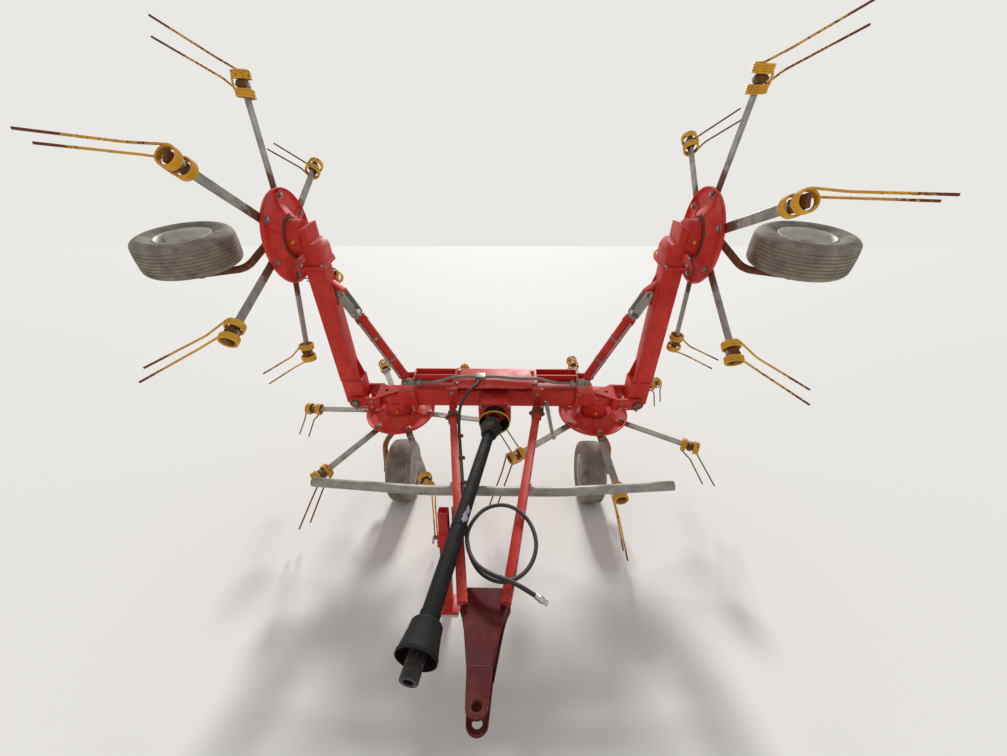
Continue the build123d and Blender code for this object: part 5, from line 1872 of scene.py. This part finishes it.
    def hanger(self) -> None:
        """Hang the flat grey bar outside the right clevis from a pin in a short tab."""
        seat = LAYOUT.machine
        tab = Shell()
        tab.block(seat, (281, -262, 168), (8, 30, 84), 0.5)
        pin = seat.shifted(0, -262, 198).facing_x()
        tab.revolve(pin, ((9, 270), (9, 292), (7, 294), (7, 309), (5, 311)), 18, wear=0.5)
        tab.make("hanger_tab", Finish.RUSTY, "chassis", bevel=1.5)
        corners = (
            (300, -262, 214), (301, -262, 196), (312, -262, 150), (344, -262, 0), (349, -258, -26),
            (362, -240, -36),
        )
        path = seat.place(rounded(corners, 22))
        share = np.linspace(0, 1, len(path))
        width = np.interp(share, (0, 0.12, 0.3, 0.8, 1.0), (12, 13, 12, 8, 11))
        wear = np.interp(share, (0, 0.2, 0.9, 1), (0.5, 0.1, 0.1, 0.5))
        section = np.array(((-1, -0.34), (1, -0.34), (1, 0.34), (-1, 0.34)))
        bar = Shell()
        bar.sweep(path, section, wear, across=np.array((0, 1.0, 0)), scale=width)
        bar.make("hanging_bar", Finish.GREY_TUBE, "chassis", bevel=1.2)


@dataclass(frozen=True)
class ParkingStand:
    """The square parking leg in its sleeve, held by a pin with a ring."""

    x: float = -202.0
    y: float = -946.0
    sleeve: float = -172.0
    sleeve_half: float = 26.5

    def build(self) -> None:
        """Round the leg, and add its sleeve and its pin."""
        soften("stand_leg", Finish.RED, "stand", 3.0, Finish.RED_EDGE)
        self.bracket()
        self.pin()

    @property
    def seat(self) -> Seat:
        """The level frame at the middle of the sleeve."""
        return LAYOUT.machine.shifted(self.x, self.y, self.sleeve)

    def bracket(self) -> None:
        """Weld up the sleeve of four plates, a plate down from the rail, and the web between them."""
        rail = Drawbar().rail(-1, self.y)
        seat = self.seat
        shell = Shell()
        for side in HANDS:
            shell.block(seat, (0, side * 24.5, 0), (53, 4, 66))
            shell.block(seat, (side * 24.5, 0, 0), (4, 45, 66))
        shell.block(rail, (-24, 0, -65), (8, 80, 176), 0.3)
        inward = rail.place((-28, 0, -100))[0] - self.x
        outside = self.sleeve_half
        shell.block(seat, ((outside + inward) / 2, -4, 8), (inward - outside + 6, 32, 40))
        replaced = ("stand_bracket",)
        shell.make("stand_bracket_plates", Finish.RED, "chassis", replaced, bevel=1.2)

    def pin(self) -> None:
        """Turn the pin through the sleeve, with a wire ring in its head."""
        pin = self.seat.facing_x()
        shell = Shell()
        shell.revolve(pin, ((12, -48), (12, -42), (7.5, -41), (7.5, 44), (6, 47)), 20, wear=0.4)
        turn = np.linspace(0, 2 * np.pi, 25)[:-1]
        ring = np.stack((16 * np.cos(turn), 16 * np.sin(turn) - 14, 0 * turn - 52), axis=-1)
        circle = pin.place(ring)
        path = np.concatenate((circle, circle[:1]))
        shell.sweep(path, ring_points(1.8, 6), 0.4, across=pin.axes[2])
        shell.make("stand_pin", Finish.ZINC, "chassis")


@dataclass(frozen=True)
class DriveShaft:
    """The telescopic drive shaft under its guard: rear fork and cone, tubes, front cone, yoke."""

    tube: float = 33.0
    inner: float = 30.4
    front_start: float = 800.0
    rear_end: float = 980.0
    front_end: float = 1190.0
    lock_holes: int = 14
    teeth: int = 12

    def build(self) -> None:
        """Turn the rear tube, its cone and foil, and the front tube with its cone and yoke."""
        seat = LAYOUT.shaft
        self.rear(seat)
        self.cone(seat)
        self.foil(seat)
        self.front(seat)

    def rear(self, seat: Seat) -> None:
        """Turn the rear guard tube, on a fork with two drilled, round-ended ears.

        Args:
            seat: The shaft's frame.
        """
        half = Shell()
        fork = ((0.5, 30), (28, 30), (30, 32), (30, 36), (36, 42), (36, 56), (38, 62), (38, 138))
        outer, bore = self.inner, self.inner - 3
        tubes = ((outer, 150), (outer, self.rear_end), (bore, self.rear_end), (bore, 158), (0.5, 158))
        half.revolve(seat, (*fork, *tubes), 48, wear=0.2)
        turn = np.linspace(-np.pi, 0, 9)
        outline = (*np.column_stack((13 * np.cos(turn), 13 * np.sin(turn))), (13, 36), (-13, 36))
        for face in (-1, 1):
            ear = seat.shifted(face * 20, 0, 0).facing_x()
            half.drilled(ear, outline, (0, 0, 8.1), -4, 4, 0.4)
        half.make("rear_guard_tube", Finish.GUARD, "shaft_rear", ("shaft_rear",), smooth=25)

    def foil(self, seat: Seat) -> None:
        """Lay the torn blank foil on the tube, in two scraps.

        Each is an ellipse wrapped on the tube, its radius times one plus three sines of the turn,
        so that its edge is ragged.

        Args:
            seat: The shaft's frame.
        """
        shell = Shell()
        turn = np.linspace(0, 2 * np.pi, 49)[:-1]
        ragged = 1 + 0.2 * np.sin(3 * turn) + 0.12 * np.sin(7 * turn + 1) + 0.05 * np.sin(13 * turn)
        for level, about, half_length, half_angle in ((730, 42, 20, 20), (771, 48, 24, 26)):
            layers = []
            for share, lift in ((0.02, 0.05), (0.55, 0.05), (1, 0.05), (1, 0.3), (0.55, 0.3), (0.02, 0.3)):
                angle = np.radians(about + half_angle * share * ragged * np.sin(turn))
                along = level + half_length * share * ragged * np.cos(turn)
                size = self.inner + lift
                layers.append(np.stack((size * np.cos(angle), size * np.sin(angle), along), axis=-1))
            shell.grid(seat.place(np.stack(layers)), wear=0.2)
        shell.make("torn_blank_foil", Finish.FOIL, "shaft_rear")

    def cone(self, seat: Seat) -> None:
        """Turn the dusty ribbed cone over the rear joint, with its row of small lock holes.

        Args:
            seat: The shaft's frame.
        """
        rear = Shell()
        steps = np.arange(10)
        size = np.array((43, 45, 45, 44.5, 43.5, 46.5, 58, 60.5, 58.5, 54.5))
        level = 56 + steps * 8.0
        radii = np.stack((size - 2.4, size, size, size - 2.4))
        ribs = np.stack((radii, np.stack((level, level + 1.6, level + 4.4, level + 6))))
        taper = ((50.5, 138), (49, 142), (47, 160), (44, 164), (44, 176), (41, 178), (30.6, 178))
        inside = ((30.6, 150), (44, 140), (50, 126), (50, 110), (41.5, 104), (40, 96), (40, 60), (39.5, 56))
        profile = np.concatenate((ribs.transpose(2, 1, 0).reshape(-1, 2), taper, inside))
        rear.revolve(seat, profile, 56, True, 0.3)
        rear.make("ribbed_rear_cone", Finish.DUSTY_GUARD, "shaft_rear")
        holes = Shell()
        count = self.lock_holes
        for step, turn in enumerate(np.arange(count) * 360 / count):
            odd = step % 2
            spot = seat.turned(about_z=turn).shifted(49.0, 0, 144.5 + 5.5 * odd).facing_x()
            top = 0.7 - 1.2 * odd
            holes.revolve(spot, ((0.4, -3), (3.1, -3), (3.1, top), (0.4, top)), 12)
        holes.make("cone_lock_holes", Finish.GUARD, "shaft_rear")

    def front(self, seat: Seat) -> None:
        """Turn the outer guard tube with its collars and the cone.

        Args:
            seat: The shaft's frame.
        """
        start, end = self.front_start, self.front_end
        sleeve = ((31, start), (33.5, start), (34.6, start + 1), (34.6, start + 12), (33, start + 15))
        collar = ((self.tube, -26), (36, -24), (36, 2), (40, 6), (50, 9), (53.5, 14), (54.5, 20))
        cone = (
            (57, 50), (57.8, 52), (58.6, 54), (61.5, 78), (62.3, 80), (63, 82), (66.5, 104), (68.8, 108),
            (69, 119), (67.5, 120), (65, 119), (60, 82), (54, 50), (51, 20), (45, 14), (31, 10),
        )
        profile = (*sleeve, *((radius, end + level) for radius, level in collar + cone))
        tube = Shell()
        tube.revolve(seat, profile, 64, True, 0.1)
        replaced = ("shaft_front",)
        tube.make("guard_tube_and_cone", Finish.GUARD, "shaft_front", replaced, smooth=25)
        self.yoke(seat)

    def yoke(self, seat: Seat) -> None:
        """Turn the yoke: a nearly round sleeve with a groove, and a bore of square splines.

        Args:
            seat: The shaft's frame.
        """
        end, length = self.front_end, LAYOUT.shaft_length
        yoke = Shell()
        turn = np.linspace(0, 2 * np.pi, self.teeth * 4, endpoint=False)
        tooth = np.where((np.arange(self.teeth * 4) % 4) < 2, 17.4, 15.2)
        outside = np.interp(np.cos(2 * turn), (-1, 1), (29.5, 30))
        rear = (end + 20, end + 60, end + 100)
        groove = (length - 46, length - 44, length - 38, length - 36)
        levels = np.array((*rear, *groove, length - 2, length))[:, None]
        swell = np.array((22, 30, 30, 30, 27.5, 27.5, 30, 30, 28.5))[:, None] / 30
        sleeve = (outside * np.cos(turn) * swell, outside * np.sin(turn) * swell, levels + 0 * turn)
        depth = np.array((length - 0.5, length - 58))[:, None]
        splines = (tooth * np.cos(turn) + 0 * depth, tooth * np.sin(turn) + 0 * depth, depth + 0 * turn)
        points = np.concatenate((np.stack(sleeve, axis=-1), np.stack(splines, axis=-1)))
        yoke.grid(seat.place(points), wear=0.2)
        yoke.make("splined_yoke", Finish.DARK_IRON, "shaft_front")


class HeldHoses:
    """The hoses that the frame holds, from the block on the tray to the cylinders and the rail."""

    def build(self) -> None:
        """Dress the CAD hoses; the pair over the tray is the paler with dust."""
        dress("hose_line", Finish.HOSE)
        dress("lift_hose_left", Finish.PALE_HOSE)
        dress("lift_hose_right", Finish.PALE_HOSE)


def main() -> None:
    """Build the classes in order."""
    logging.basicConfig(level=logging.INFO, format="%(name)s: %(message)s")
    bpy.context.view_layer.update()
    Studio().build()
    LooseHose().build()
    HeldHoses().build()
    Carrier().build()
    Drawbar().build()
    ParkingStand().build()
    DriveShaft().build()
    angles = {
        (-1, Place.INNER): 55.0, (1, Place.INNER): 35.0, (-1, Place.WING): 49.5, (1, Place.WING): 57.5,
    }
    levels = {Place.INNER: (112.0, 250.0), Place.WING: (92.0, 206.0)}
    rust = {Place.INNER: (0.9, 0.5, 0.7, 1.0, 0.4, 0.8), Place.WING: (0.8, 0.9, 0.5, 0.3, 0.2, 0.4)}
    for side in HANDS:
        Wing(side).build()
        LiftCylinder(side).build()
        for place in Place:
            turn = -side if place is Place.INNER else side
            Rotor(side, place, angles[side, place], turn, rust[place]).build()
            Gearbox(side, place, *levels[place]).build()
            Wheel(side, place).build()


if __name__ == "__main__":
    main()
